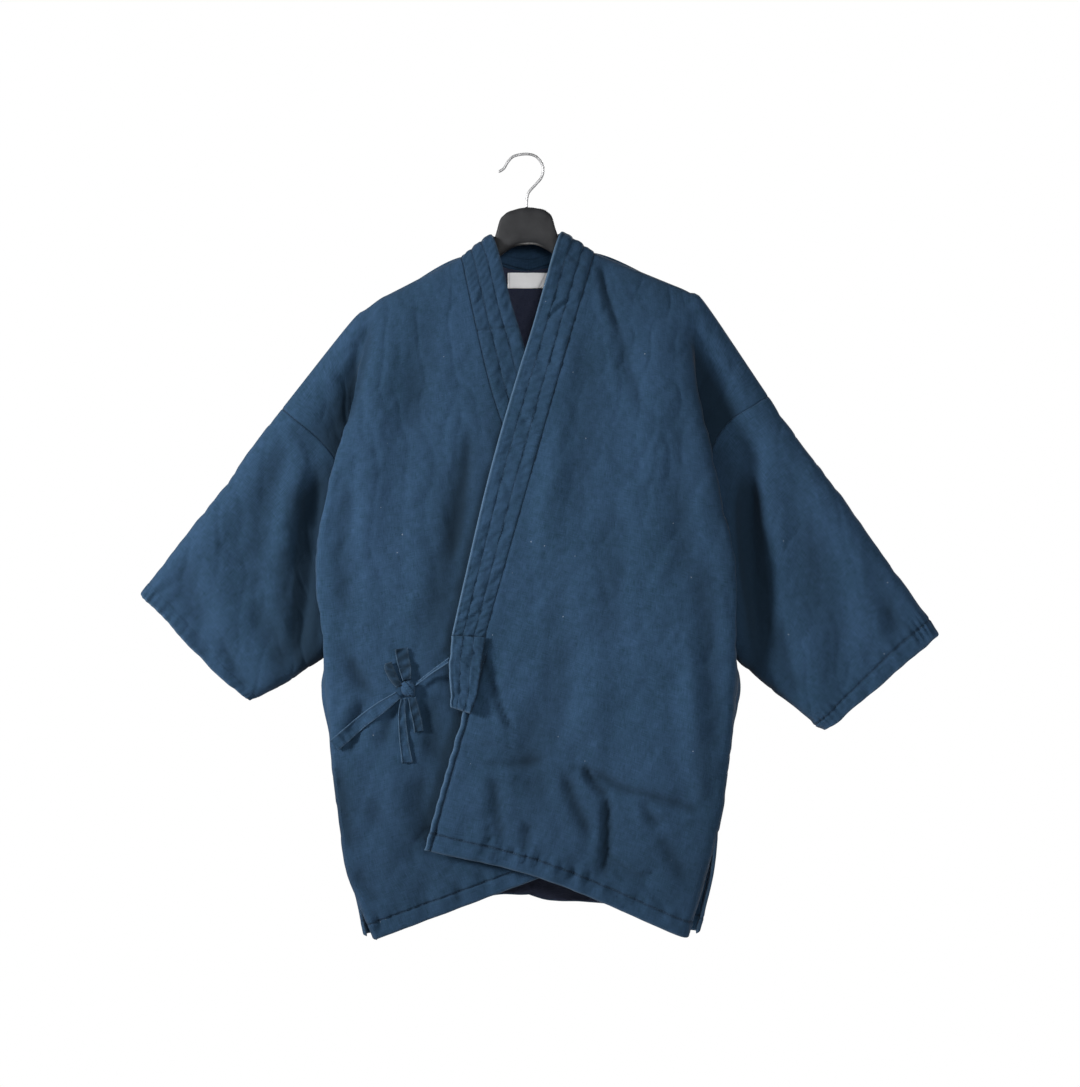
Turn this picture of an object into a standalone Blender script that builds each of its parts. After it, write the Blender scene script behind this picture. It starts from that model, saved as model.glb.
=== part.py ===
"""Padded samue jacket on a plain hanger.

Metres, +Z up, the front faces -Y, and the origin is the inside top of the hook.
Tables are in millimetres. "Left" and "right" in a node's name are the wearer's.
"""

import bpy
import numpy as np
from mathutils import Vector

MM = 0.001
WALL = 4.0  # padded cloth, outer face to lining
SEAM_GAP = 0.5  # half the space left between two pieces that are sewn together
SIDE_GAP = 1.6  # the same at the side seams, where the walls turn
COLLAR_WALL = 3.6
CHANNEL_PUFF = 2.6  # how far a collar channel rises between its stitch lines
CHANNELS = 3
KNOT_RADII = (8.0, 5.0, 8.6)
STRAP_WALL = 1.6
LINING_WALL = 1.2
LINING_REACH = 5  # columns of the back that the lining covers on each side of its middle
LABEL_WALL = 0.6
REST_GAP = 0.35  # what lies on a panel keeps this far off it
WIRE_RADIUS = 1.5

CENTRE_BACK = 3.0
BACK_NECK_Z = -124.0
BACK_NECK_DEPTH = 27.0
BACK_HEM_Z = -817.0
ARMHOLE_END = 0.42  # where the sleeve ends, on the scale of the DOWN column
OVER_LAP = 5.0  # how far the over front stands out further at its edge
HIDDEN_LAP = 5.0  # and the under front less

# The turn of the cloth over the shoulder: way down the panel, and way out from the middle plane.
TURN = ((0.0, SEAM_GAP), (0.4, 3.4), (3.6, 8.8), (12.0, 13.0))
TURN_DOWN = (0.0, 0.008, 0.02, 0.035)

# One row for each section across a half of the body, from the neck or front edge to the
# armhole or side seam. DOWN runs from shoulder to hem. Crest is the edge of the fold that
# the cloth makes under the arm, trough is the bottom of that fold, and front, back, layer
# and seam are depths off the middle plane.
COLUMNS = ("down", "edge_x", "edge_z", "crest_x", "crest_z", "trough_x", "trough_z",
           "seam_x", "seam_z", "front", "back", "layer", "seam")

OVER_SIDE = (
    (0.00, 74.8, -109.2, 172, -149, 192, -159, 264.5, -265.5, 0, 0, 0, 0),
    (0.12, 52.4, -187.8, 178, -224, 184, -238, 220, -296, 33, 28, 12, 12),
    (0.24, 30.0, -266.4, 196, -312, 182, -326, 196, -350, 42, 33, 10, 8),
    (0.34, 11.4, -331.9, 211, -388, 172, -404, 187, -425, 44, 35, 13, 5),
    (0.42, -3.5, -384.3, 225, -452, 163, -474, 178, -498, 45, 35, 13, 5),
    (0.45, -9.1, -403.9, 227, -476, 172, -496, 180, -512, 45, 35, 9, 1),
    (0.54, -25.8, -462.9, 229, -548, 228, -560, 225, -570, 44, 34, 10, 1),
    (0.66, -48.2, -541.6, 223, -632, 224, -638, 221, -642, 42, 32, 10, 1),
    (0.76, -66.8, -607.1, 213, -712, 213, -716, 209, -719, 40, 30, 10, 1),
    (0.88, -89.1, -684.0, 194, -788, 196, -790, 194, -791, 39, 28, 17, 13),
    (1.00, -110.0, -759.5, 174, -856, 176, -857, 174, -858, 38, 27, 18, 14),
)

UNDER_SIDE = (
    (0.00, -70.4, -113.5, -160, -160, -188, -181, -266.5, -279.5, 0, 0, 0, 0),
    (0.12, -54.6, -189.5, -181, -228, -188, -243, -226, -313.5, 27, 28, 12, 12),
    (0.24, -34.0, -272.0, -202, -314, -189, -330, -200, -356, 30, 33, 10, 8),
    (0.34, -8.0, -345.0, -216, -388, -171, -406, -186, -430, 31, 35, 13, 6),
    (0.42, 8.0, -398.0, -223, -450, -158, -478, -173, -508, 31, 35, 13, 5),
    (0.45, 15.0, -419.0, -223, -474, -166, -502, -175, -522, 31, 35, 9, 1),
    (0.54, 35.0, -480.0, -219, -550, -218, -564, -216, -577, 30, 34, 10, 1),
    (0.66, 60.0, -558.0, -213, -636, -214, -642, -211, -646, 29, 32, 10, 1),
    (0.76, 80.0, -620.0, -207, -704, -208, -708, -204, -711, 28, 30, 10, 1),
    (0.86, 100.0, -680.0, -195, -778, -196, -781, -193, -783, 27, 28, 10, 1),
    (0.93, 112.0, -717.0, -179, -820, -181, -821, -179, -822, 27, 28, 16, 13),
    (1.00, 122.0, -752.0, -163, -859, -165, -860, -163, -861, 26, 27, 17, 14),
)

# The back hangs a little wider than the front below the slits.
BACK_WIDEN = {
    "over": ((0.76, 0.0), (0.88, 10.0), (1.0, 14.0)),
    "under": ((0.86, 0.0), (0.93, 5.0), (1.0, 13.0)),
}
OVER_HEM_RISE = 12.0  # how far the over front's hem curves up between its corners

# Cuff tip and cuff corner (x, z), how far the sleeve's lower fold sags between its ends, and
# how far the cuff bows down between its own.
SLEEVES = {
    "over": {"tip": (453.5, -527.6), "corner": (329.7, -632.0), "sag": 5.0, "cuff_bow": 0.0},
    "under": {"tip": (-422.5, -484.2), "corner": (-303.6, -600.0), "sag": 9.0, "cuff_bow": 5.0},
}
SLEEVE_CUFF_DEPTH = 9.0
# Gap at the armhole seam, from the top of the armhole (0) to its end (1).
SLEEVE_GAP = ((0.0, 0.3, 0.5, 0.85, 1.0), (0.9, 0.9, 1.6, 1.6, 4.1))
SLEEVE_BELLY = 7.0

# Inner edge of the collar, a row for each place along it: (z of the seam beside it, x, z, depth).
OVER_COLLAR = (
    (-109.2, 38.5, -84.0, 1.0),
    (-112.8, 37.3, -86.5, 9.0),
    (-121.2, 34.0, -95.0, 15.5),
    (-131.0, 30.5, -106.0, 20.5),
    (-160.0, 21.0, -141.0, 29.0),
    (-207.8, 6.5, -193.0, 35.0),
    (-253.3, -8.0, -240.0, 43.0),
    (-364.8, -40.0, -353.0, 49.0),
    (-469.3, -66.5, -466.0, 51.0),
    (-528.2, -80.0, -526.0, 51.0),
)
UNDER_COLLAR = (
    (-113.5, -37.5, -87.0, 1.0),
    (-117.1, -36.3, -89.5, 8.5),
    (-125.5, -33.0, -98.0, 14.0),
    (-134.9, -29.5, -109.0, 18.0),
    (-171.0, -17.5, -158.0, 23.0),
    (-218.5, -3.0, -206.0, 26.5),
    (-262.5, 9.0, -250.0, 28.0),
    (-345.0, 36.0, -332.0, 28.0),
    (-480.0, 78.0, -467.0, 27.0),
    (-558.0, 103.0, -545.0, 26.0),
)
COLLAR_BACK_DEPTH = 27.0
COLLAR_BACK_DIP = 3.0
COLLAR_BACK_START = 2.4  # gap from the top of the back to the band round the neck
# The end of the over collar hangs free on the front: (left x, right x, z, depth of its middle).
COLLAR_TAIL = (
    (-80.4, -43.4, -529.2, 51.5),
    (-81.8, -46.5, -545.0, 53.0),
    (-81.8, -49.0, -565.0, 53.6),
    (-81.4, -53.0, -588.0, 53.6),
    (-79.9, -60.0, -604.0, 53.4),
)
TAIL_PUFF = 1.4
TAIL_SLANT = 7.0  # how much further its end reaches down at its right side

# The head of the hanger, a row for each place along it: (x, top, bottom, half its depth).
HANGER_HEAD = (
    (0.0, -57.5, -98.3, 9.0),
    (12.0, -59.0, -99.6, 9.0),
    (24.0, -64.0, -106.0, 8.5),
    (29.0, -70.0, -109.5, 8.0),
    (33.0, -84.0, -111.5, 7.0),
    (40.0, -101.0, -117.0, 5.0),
    (56.0, -114.5, -127.0, 4.6),
)
HANGER_TILT = 0.065  # rise towards +X for each unit along
ARM_PLACES = (78.0, 100.0, 120.0, 140.0, 160.0, 170.0)
ARM_HEIGHT = 13.0
ARM_HALF_DEPTH = 5.5
ARM_DROP = 6.0  # from the middle of the cloth over the shoulder to the top of the arm
HANGER_SECTION = 14

HOOK = ((-30.3, -18.3), (-24.5, -14.5), (-19.8, -7.0), (-13.0, -0.8), (0.0, WIRE_RADIUS),
        (10.5, -0.9), (17.2, -8.4), (19.0, -16.5), (16.5, -25.0), (9.9, -32.8), (3.2, -40.5),
        (1.0, -48.0), (0.6, -57.1))

COLOURS = {
    "cloth": ((0.030, 0.072, 0.125, 1.0), 0.85, 0.0),
    "lining": ((0.008, 0.010, 0.026, 1.0), 0.45, 0.0),
    "label": ((0.78, 0.79, 0.82, 1.0), 0.6, 0.0),
    "plastic": ((0.012, 0.012, 0.013, 1.0), 0.5, 0.0),
    "wire": ((0.72, 0.72, 0.73, 1.0), 0.22, 1.0),
}

ACROSS_PANEL = 20
DOWN_PANEL = 18
ALONG_SLEEVE = 9
RING_STEPS = np.array((0, 0.012, 0.04, 0.1, 0.22, 0.36, 0.5, 0.64, 0.78, 0.9, 0.96, 0.988, 1.0))
STATIONS = np.array((0.0, 0.25, 0.5, 0.65, 0.75, 0.85, 1.0))
BELLY_AT = 0.45  # place of a section's belly between its edge and its crest
BROW_WIDTH = 13.0  # the brow, where the cloth starts to turn, lies this far before the crest
NECK_COLUMN = 5  # the column of a back half that starts at the neck point
NECK_BULGE = 7.0
NECK_BULGE_DOWN = 0.1  # how far down the bulge behind the neck reaches, on the DOWN scale


def clear_scene():
    for thing in list(bpy.data.objects):
        bpy.data.objects.remove(thing, do_unlink=True)


def material(name):
    colour, roughness, metallic = COLOURS[name]
    made = bpy.data.materials.new(name)
    made.use_nodes = True
    shader = made.node_tree.nodes["Principled BSDF"]
    shader.inputs["Base Color"].default_value = colour
    shader.inputs["Roughness"].default_value = roughness
    shader.inputs["Metallic"].default_value = metallic
    return made


def add(name, mesh, finish, collection):
    """Puts a mesh into the collection as the part called name, with a material of its own."""
    mesh.polygons.foreach_set("use_smooth", np.ones(len(mesh.polygons), bool))
    thing = bpy.data.objects.new(name, mesh)
    mesh.materials.append(material(finish))
    collection.objects.link(thing)
    return thing


def through(knots, rows, at):
    """Smooth curve through rows[k] at knots[k]; each tangent is a weighted mean of its two slopes."""
    knots = np.asarray(knots, float)
    rows = np.asarray(rows, float)
    at = np.asarray(at, float)
    spread = (-1,) + (1,) * (rows.ndim - 1)
    step = np.diff(knots).reshape(spread)
    slope = np.diff(rows, axis=0) / step
    between = (slope[:-1] * step[1:] + slope[1:] * step[:-1]) / (step[:-1] + step[1:])
    tangent = np.concatenate([slope[:1], between, slope[-1:]])
    k = np.clip(np.searchsorted(knots, at, side="right") - 1, 0, len(knots) - 2)
    t = ((at - knots[k]) / np.diff(knots)[k]).reshape(spread)
    return (
        rows[k] * (2 * t**3 - 3 * t**2 + 1)
        + rows[k + 1] * (3 * t**2 - 2 * t**3)
        + tangent[k] * step[k] * (t**3 - 2 * t**2 + t)
        + tangent[k + 1] * step[k] * (t**3 - t**2)
    )


def resampled(points, fractions):
    """Points at the given fractions of a polyline's length."""
    length = np.concatenate([[0], np.cumsum(np.linalg.norm(np.diff(points, axis=0), axis=1))])
    return np.stack([np.interp(fractions * length[-1], length, points[:, k]) for k in range(3)], axis=1)


def normals(grid):
    """Unit normals of a grid of points, from its two directions."""
    along = np.gradient(grid, axis=0)
    across = np.gradient(grid, axis=1)
    cross = np.cross(along, across)
    return cross / np.linalg.norm(cross, axis=2, keepdims=True)


def quads(rows, columns, closed=False):
    """Faces of a grid of rows by columns points; closed joins the last column to the first."""
    last = columns if closed else columns - 1
    down, along = np.meshgrid(np.arange(rows - 1) * columns, np.arange(last), indexing="ij")
    after = (along + 1) % columns
    below = down + columns
    return np.stack([down + along, down + after, below + after, below + along], axis=-1).reshape(-1, 4)


def mesh_of(name, points, faces):
    mesh = bpy.data.meshes.new(name)
    mesh.from_pydata((points.reshape(-1, 3) * MM).tolist(), [], faces.tolist())
    mesh.validate()
    return mesh


def cloth(name, grid, wall, finish, collection, closed=False):
    """An open grid of points with Solidify, its wall centred on the grid."""
    thing = add(name, mesh_of(name, grid, quads(*grid.shape[:2], closed)), finish, collection)
    solid = thing.modifiers.new("wall", "SOLIDIFY")
    solid.thickness = wall * MM
    solid.offset = 0
    return thing


def lofted(name, outer, inner, finish, collection):
    """A closed wall between two unlike grids of the same size, with a rim round its edge."""
    rows, columns = outer.shape[:2]
    face = quads(rows, columns)
    count = rows * columns
    index = np.arange(count).reshape(rows, columns)
    rim = np.concatenate([index[0, :-1], index[:-1, -1], index[-1, :0:-1], index[:0:-1, 0]])
    after = np.roll(rim, -1)
    sides = np.stack([after, rim, rim + count, after + count], axis=1)
    points = np.concatenate([outer.reshape(-1, 3), inner.reshape(-1, 3)])
    faces = np.concatenate([face, face[:, ::-1] + count, sides])
    first, second, third = (points[faces[:, k]] for k in range(3))
    if np.einsum("ij,ij->", first - points.mean(axis=0), np.cross(second - first, third - first)) < 0:
        faces = faces[:, ::-1]
    return add(name, mesh_of(name, points, faces), finish, collection)


def column(table, name):
    return np.array([row[COLUMNS.index(name)] for row in table], float)


def section(row, layer_sign, edge, depth, lap):
    """The seven stations of one section: edge, belly, brow, crest, behind, trough and seam."""
    value = dict(zip(COLUMNS, row))
    layer, seam = value["layer"], value["seam"]
    crest = np.array((value["crest_x"], value["crest_z"]))
    trough = np.array((value["trough_x"], value["trough_z"]))
    end = np.array((value["seam_x"], value["seam_z"]))
    belly = edge + (crest - edge) * BELLY_AT
    brow = crest + (edge - crest) / np.linalg.norm(edge - crest) * BROW_WIDTH
    behind = (crest + trough) / 2
    flat = np.array((edge, belly, brow, crest, behind, trough, end))
    out = np.array((depth + lap, depth + 0.7 * lap, depth - 2, 0.62 * depth + 0.38 * layer,
                    0.25 * depth + 0.75 * layer, layer, seam))
    return np.stack([flat[:, 0], layer_sign * out, flat[:, 1]], axis=1)


def half_body(table, side, layer_sign, edges, depths, laps, widen=()):
    """Grid of points of one front or back half: rows down the body, columns from edge to seam."""
    down = column(table, "down")
    levels = []
    for row, edge, depth, lap in zip(table, edges, depths, laps):
        levels.append(section(row, layer_sign, np.array(edge, float), depth, lap))
    levels = np.array(levels)
    if widen:
        grow = np.interp(down, [row[0] for row in widen], [row[1] for row in widen])
        levels[:, 3:, 0] += side * grow[:, None]
    first = levels[0].copy()
    first[:, 1] = 0
    way = levels[1] - first
    way[:, 1] = 0
    way /= np.linalg.norm(way, axis=1, keepdims=True)
    turned = [first + way * drop + np.array((0, layer_sign * out, 0)) for drop, out in TURN]
    return down, levels, turned


def spread(down, levels, turned):
    """Reads the sections of a half body as a smooth grid."""
    knots = np.concatenate([TURN_DOWN, down[1:]])
    rows = np.concatenate([turned, levels[1:]])
    at_down = np.concatenate([TURN_DOWN, np.linspace(TURN_DOWN[-1], 1, DOWN_PANEL - 2)[1:]])
    at_down = np.sort(np.append(at_down, (ARMHOLE_END, 0.45)))
    by_down = through(knots, rows, at_down)
    at = np.linspace(0, 1, ACROSS_PANEL + 1)
    grid = through(STATIONS, by_down.transpose(1, 0, 2), at).transpose(1, 0, 2)
    layer_sign = np.sign(levels[1, 1, 1])
    grid[1:, :, 1] = layer_sign * np.maximum(layer_sign * grid[1:, :, 1], SIDE_GAP)
    grid[0, :, 1] = layer_sign * np.maximum(layer_sign * grid[0, :, 1], SEAM_GAP)
    return at_down, grid


def front_grid(table, side, lap, rise):
    """A front: its edge is the collar's seam and then its own edge, and its hem curves up by rise."""
    edges = [(row[1], row[2]) for row in table]
    laps = lap * np.clip(column(table, "down") / 0.24, 0, 1)
    down, levels, turned = half_body(table, side, -1, edges, column(table, "front"), laps)
    levels[:, 1, 2] += rise * down**4
    return spread(down, levels, turned)


def back_grid(table, side, widen):
    """The back half: its edge is the centre-back seam, and its top follows the neck to the shoulder."""
    down = column(table, "down")
    centre_z = BACK_NECK_Z + (BACK_HEM_Z - BACK_NECK_Z) * down
    edges = [(CENTRE_BACK + side * SEAM_GAP, z) for z in centre_z]
    depths = column(table, "back")
    down, levels, turned = half_body(table, side, 1, edges, depths, np.zeros(len(table)), widen)
    neck_x, neck_z = table[0][1], table[0][2]
    for k, (drop, out) in enumerate(TURN):
        turned[k][0] = (edges[0][0], BACK_NECK_DEPTH + 0.08 * drop, BACK_NECK_Z - 1.2 * drop)
        turned[k][1] = (neck_x, out, neck_z - drop)
    at_down, grid = spread(down, levels, turned)
    across = np.clip(np.arange(ACROSS_PANEL + 1) / NECK_COLUMN, 0, 1)
    grid[:, :, 1] += NECK_BULGE * np.sin(np.pi * across) * np.exp(-(at_down[:, None] / NECK_BULGE_DOWN) ** 2)
    return at_down, grid


def collar_stretch(name, seam, inner, collection, start=2.6 * SEAM_GAP):
    """A quilted band between its seam and its inner edge, its channels raised on the outer face."""
    steps = CHANNELS * 3
    width = np.linalg.norm(inner - seam, axis=1)
    across = np.linspace(start / width, np.ones(len(seam)), steps + 1, axis=1)
    middle = seam[:, None] + (inner - seam)[:, None] * across[:, :, None]
    outward = normals(middle)
    puff = np.abs(np.sin(np.linspace(0, CHANNELS * np.pi, steps + 1))) ** 0.8
    outer = middle + outward * (COLLAR_WALL / 2 + CHANNEL_PUFF * puff)[None, :, None]
    under = middle - outward * COLLAR_WALL / 2
    lofted(name, outer, under, "cloth", collection)


def front_collar(name, table, edge, side, count, collection):
    """Down a front: the seam is the panel's edge, and the table gives the inner edge beside it."""
    levels = np.array([row[0] for row in table])
    turned = len(TURN)
    reach = np.concatenate([edge[:turned, 2], np.linspace(edge[turned - 1, 2], levels[-1], count)[1:]])
    seam = np.stack([np.interp(-reach, -edge[:, 2], edge[:, k]) for k in range(3)], axis=1)
    inner = through(-levels, np.array([(x, -depth, z) for _, x, z, depth in table]), -reach)
    if side < 0:
        seam = seam[::-1]
        inner = inner[::-1]
    collar_stretch(name, seam, inner, collection)


def back_collar(over_top, under_top, collection):
    """Round the back of the neck the band stands up from the top of the two back halves."""
    seam = np.concatenate([over_top[NECK_COLUMN::-1], under_top[:NECK_COLUMN + 1]])
    seam = resampled(seam, np.linspace(0.026, 0.974, 17))
    turn = np.linspace(0, np.pi, len(seam))
    over_end = np.array((OVER_COLLAR[0][1], 0, OVER_COLLAR[0][2]))
    under_end = np.array((UNDER_COLLAR[0][1], 0, UNDER_COLLAR[0][2]))
    inner = (over_end + under_end) / 2 + (over_end - under_end) / 2 * np.cos(turn)[:, None]
    inner[:, 1] = COLLAR_BACK_DEPTH * np.sin(turn) ** 0.8 + 1.8 * np.cos(turn) ** 2
    inner[:, 2] -= COLLAR_BACK_DIP * np.sin(turn)
    start = COLLAR_BACK_START + 0.6 * np.cos(turn) ** 2
    collar_stretch("collar_back", seam[::-1], inner[::-1], collection, start)


def surface_y(grid, x, z):
    """Depth of a grid at a place seen from the front: read along each row, then down the rows."""
    by_row = [(np.interp(x, row[:, 0], row[:, 2]), np.interp(x, row[:, 0], row[:, 1])) for row in grid]
    heights = np.array([pair[0] for pair in by_row])
    depths = np.array([pair[1] for pair in by_row])
    return float(np.interp(-z, -heights, depths))


def ribbon(name, centre, across, depth, collection, wall=STRAP_WALL, finish="cloth"):
    """A flat strap: its centre line (x, z), half its width as a vector at each point, and its depth."""
    centre = np.array(centre, float)
    half = np.array(across, float) / 2
    at = np.linspace(0, 1, 3 * len(centre) - 2)
    knots = np.linspace(0, 1, len(centre))
    middle = through(knots, np.column_stack([centre[:, 0], depth, centre[:, 1]]), at)
    side = through(knots, np.column_stack([half[:, 0], np.zeros(len(half)), half[:, 1]]), at)
    grid = np.stack([middle + side, middle, middle - side], axis=1)
    return cloth(name, grid, wall, finish, collection)


def hanger(over_top, under_top, collection):
    """Rounded sections carried along the hanger, its arms just under the two shoulder lines."""
    sides = []
    for side, top in ((-1, under_top), (1, over_top)):
        head = []
        for x, high, low, deep in HANGER_HEAD:
            rise = HANGER_TILT * side * x
            head.append((side * x, high + rise, low + rise, deep))
        places = np.array(ARM_PLACES) * side
        order = np.argsort(top[:, 0])
        high = np.interp(places, top[order, 0], top[order, 2]) - ARM_DROP
        arm = [(x, z, z - ARM_HEIGHT, ARM_HALF_DEPTH) for x, z in zip(places, high)]
        arm[-1] = (arm[-1][0], arm[-1][1] - 2, arm[-1][2] + 3, ARM_HALF_DEPTH - 2)
        sides.append(head + arm)
    rows = np.array(sides[0][:0:-1] + sides[1])
    turn = np.linspace(0, 2 * np.pi, HANGER_SECTION, endpoint=False)
    wave = np.stack([np.cos(turn), np.sin(turn)])
    squared = np.sign(wave) * np.abs(wave) ** 0.7
    y = rows[:, 3, None] * squared[0]
    z = ((rows[:, 1] + rows[:, 2]) / 2)[:, None] + ((rows[:, 1] - rows[:, 2]) / 2)[:, None] * squared[1]
    points = np.stack([np.broadcast_to(rows[:, 0, None], y.shape), y, z], axis=-1)
    last = (len(rows) - 1) * HANGER_SECTION
    caps = [list(range(HANGER_SECTION))[::-1], [last + k for k in range(HANGER_SECTION)]]
    mesh = bpy.data.meshes.new("hanger_body")
    side = quads(len(rows), HANGER_SECTION, closed=True)
    mesh.from_pydata((points.reshape(-1, 3) * MM).tolist(), [], side.tolist() + caps)
    return add("hanger_body", mesh, "plastic", collection)


def hook(collection):
    """Bent wire: a curve with round section and filled ends."""
    knots = np.linspace(0, 1, len(HOOK))
    points = through(knots, [(x, 0, z) for x, z in HOOK], np.linspace(0, 1, 34))
    curve = bpy.data.curves.new("hanger_hook", "CURVE")
    curve.dimensions = "3D"
    curve.bevel_depth = WIRE_RADIUS * MM
    curve.bevel_resolution = 2
    curve.use_fill_caps = True
    spline = curve.splines.new("POLY")
    spline.points.add(len(points) - 1)
    for point, place in zip(spline.points, points):
        point.co = (*(place * MM), 1)
    thing = bpy.data.objects.new("hanger_hook", curve)
    curve.materials.append(material("wire"))
    collection.objects.link(thing)
    return thing


def sleeve(name, front, back, at_down, side, size, collection):
    """Flattened tube from the armhole to the cuff; each ring runs down the front layer and up the back."""
    reach = at_down <= ARMHOLE_END + 1e-6
    way = np.array(size["tip"] + size["corner"], float).reshape(2, 2)
    fore = resampled(front[reach, -1], RING_STEPS)
    aft = resampled(back[reach, -1], RING_STEPS)
    round_off = np.sqrt(1 - np.abs(2 * RING_STEPS - 1) ** 12)
    low = RING_STEPS > 0.85
    rings = []
    for layer, sign in ((fore, -1), (aft, 1)):
        layer = layer.copy()
        layer[low, 1] = sign * np.abs(layer[low, 1]) * round_off[low]
        layer[0, 1] = 0
        tip, corner = way
        cuff = tip + (corner - tip) * RING_STEPS[:, None]
        cuff[:, 1] -= size["cuff_bow"] * np.sin(np.pi * RING_STEPS**1.6)
        end = np.stack([cuff[:, 0], sign * SLEEVE_CUFF_DEPTH * round_off, cuff[:, 1]], axis=1)
        out = np.array(((tip + corner) / 2 - (layer[0, [0, 2]] + layer[-1, [0, 2]]) / 2))
        out = np.array((out[0], 0, out[1])) / np.linalg.norm(out)
        start = layer + out * np.interp(RING_STEPS, SLEEVE_GAP[0], SLEEVE_GAP[1])[:, None]
        t = np.linspace(0, 1, ALONG_SLEEVE + 1)[:, None, None]
        tube = start + (end - start) * t
        swell = np.sin(np.pi * t[..., 0])
        tube[..., 1] += sign * SLEEVE_BELLY * swell * round_off
        tube[..., 2] -= size["sag"] * swell * RING_STEPS**2
        rings.append(tube)
    ring = np.concatenate([rings[0], rings[1][:, -2:0:-1]], axis=1)
    if side < 0:
        ring = ring[:, ::-1]
    return cloth(name, ring, WALL, "cloth", collection, closed=True)


def bow(under_front, collection):
    """The two straps, their knot, one loop and three ends, each laid on the under front."""
    def lies(x, z, lift):
        return surface_y(under_front, x, z) - WALL / 2 - REST_GAP - STRAP_WALL / 2 - lift

    def strap(name, centre, across, lifts, **more):
        depth = [lies(x, z, lift) for (x, z), lift in zip(centre, lifts)]
        return ribbon(name, centre, across, depth, collection, **more)

    strap("tie_side", ((-209, -647), (-196, -636), (-180, -622), (-160, -607), (-138.5, -591.5)),
          ((-9, 11), (-9, 11), (-8, 11), (-8, 11), (-5, 7)), (0.8, 0.6, 0.4, 0.8, 2.4))
    strap("tie_front", ((-83.4, -553), (-92, -559), (-101, -565.5), (-110, -572.5), (-118.4, -579)),
          ((1, 6), (2, 6), (2, 5), (2, 5), (3, 5)), (19.5, 15.0, 9.0, 5.0, 4.2))
    strap("tie_end_up", ((-135.5, -541), (-134, -552), (-131.5, -564), (-129.5, -575.5)),
          ((14, 2), (14, 1), (13, 2), (9, 2)), (1.4, 0.4, 0.8, 3.4))
    strap("tie_end_short", ((-124, -594.5), (-121, -608), (-118, -622), (-116.5, -632)),
          ((8, 2), (10, 2), (10, 2), (10, 2)), (3.0, 0.7, 0.3, 0.2))
    strap("tie_end_long", ((-133.5, -595), (-135, -612), (-133, -640), (-129, -666)),
          ((5, 1), (8, 1), (10, 1), (12, 1)), (3.0, 0.7, 0.2, 0.2))
    strap("tie_loop", ((-137.6, -582.6), (-144, -573), (-149, -562), (-149.5, -556.5)),
          ((5, 3), (8, 4), (9, 3), (6, 2)), (4.0, 3.0, 3.0, 2.6), wall=4.4)
    place = Vector((-128.0, lies(-128.0, -585.0, KNOT_RADII[1] - STRAP_WALL / 2), -585.0)) * MM
    bpy.ops.mesh.primitive_uv_sphere_add(
        segments=14, ring_count=9, radius=MM, location=place, rotation=(0, 0.2, 0))
    knot = bpy.context.active_object
    knot.name = "tie_knot"
    knot.scale = KNOT_RADII
    knot.data.materials.append(material("cloth"))
    knot.data.polygons.foreach_set("use_smooth", np.ones(len(knot.data.polygons), bool))
    for other in knot.users_collection:
        other.objects.unlink(knot)
    collection.objects.link(knot)


def inner_back(over_back, under_back, collection):
    """The lining on the inside of the back, and the label sewn to it under the collar."""
    rows = slice(3, -1)
    under_half = under_back[rows, LINING_REACH:0:-1]
    both = np.concatenate([under_half, over_back[rows, :LINING_REACH + 1]], axis=1)
    outward = normals(both)
    outward *= np.sign(outward[:, :, 1:2])
    face = both - outward * (WALL / 2 + REST_GAP + LINING_WALL / 2)
    cloth("lining_back", face, LINING_WALL, "lining", collection)
    across = np.linspace(-20.5, 24.5, 7)
    down = np.array((-131.0, -136.0, -141.5, -147.5))
    lift = LINING_WALL / 2 + 2 * REST_GAP + LABEL_WALL / 2
    label = np.array([[(x, surface_y(face, x, z) - lift, z) for x in across] for z in down])
    label[-1, -1, 1] -= 2.0
    cloth("neck_label", label, LABEL_WALL, "label", collection)


def collar_tail(collection):
    """The collar's end below its cross seam, free on the front, with channels and a slanted end."""
    table = np.array(COLLAR_TAIL)
    rows = through(np.linspace(0, 1, len(table)), table, np.linspace(0, 1, 9))
    steps = CHANNELS * 3
    across = np.linspace(0, 1, steps + 1)
    x = rows[:, 0, None] + (rows[:, 1] - rows[:, 0])[:, None] * across
    slant = np.linspace(0, 1, len(rows))[:, None] ** 3 * TAIL_SLANT * across
    grid = np.stack([x, np.broadcast_to(-rows[:, 3, None], x.shape), rows[:, 2, None] - slant], axis=-1)
    outward = normals(grid)
    outward *= -np.sign(outward[:, :, 1:2])
    puff = np.abs(np.sin(np.linspace(0, CHANNELS * np.pi, steps + 1)))
    outer = grid + outward * (COLLAR_WALL / 2 + TAIL_PUFF * puff)[None, :, None]
    lofted("collar_tail", outer, grid - outward * COLLAR_WALL / 2, "cloth", collection)


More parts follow.
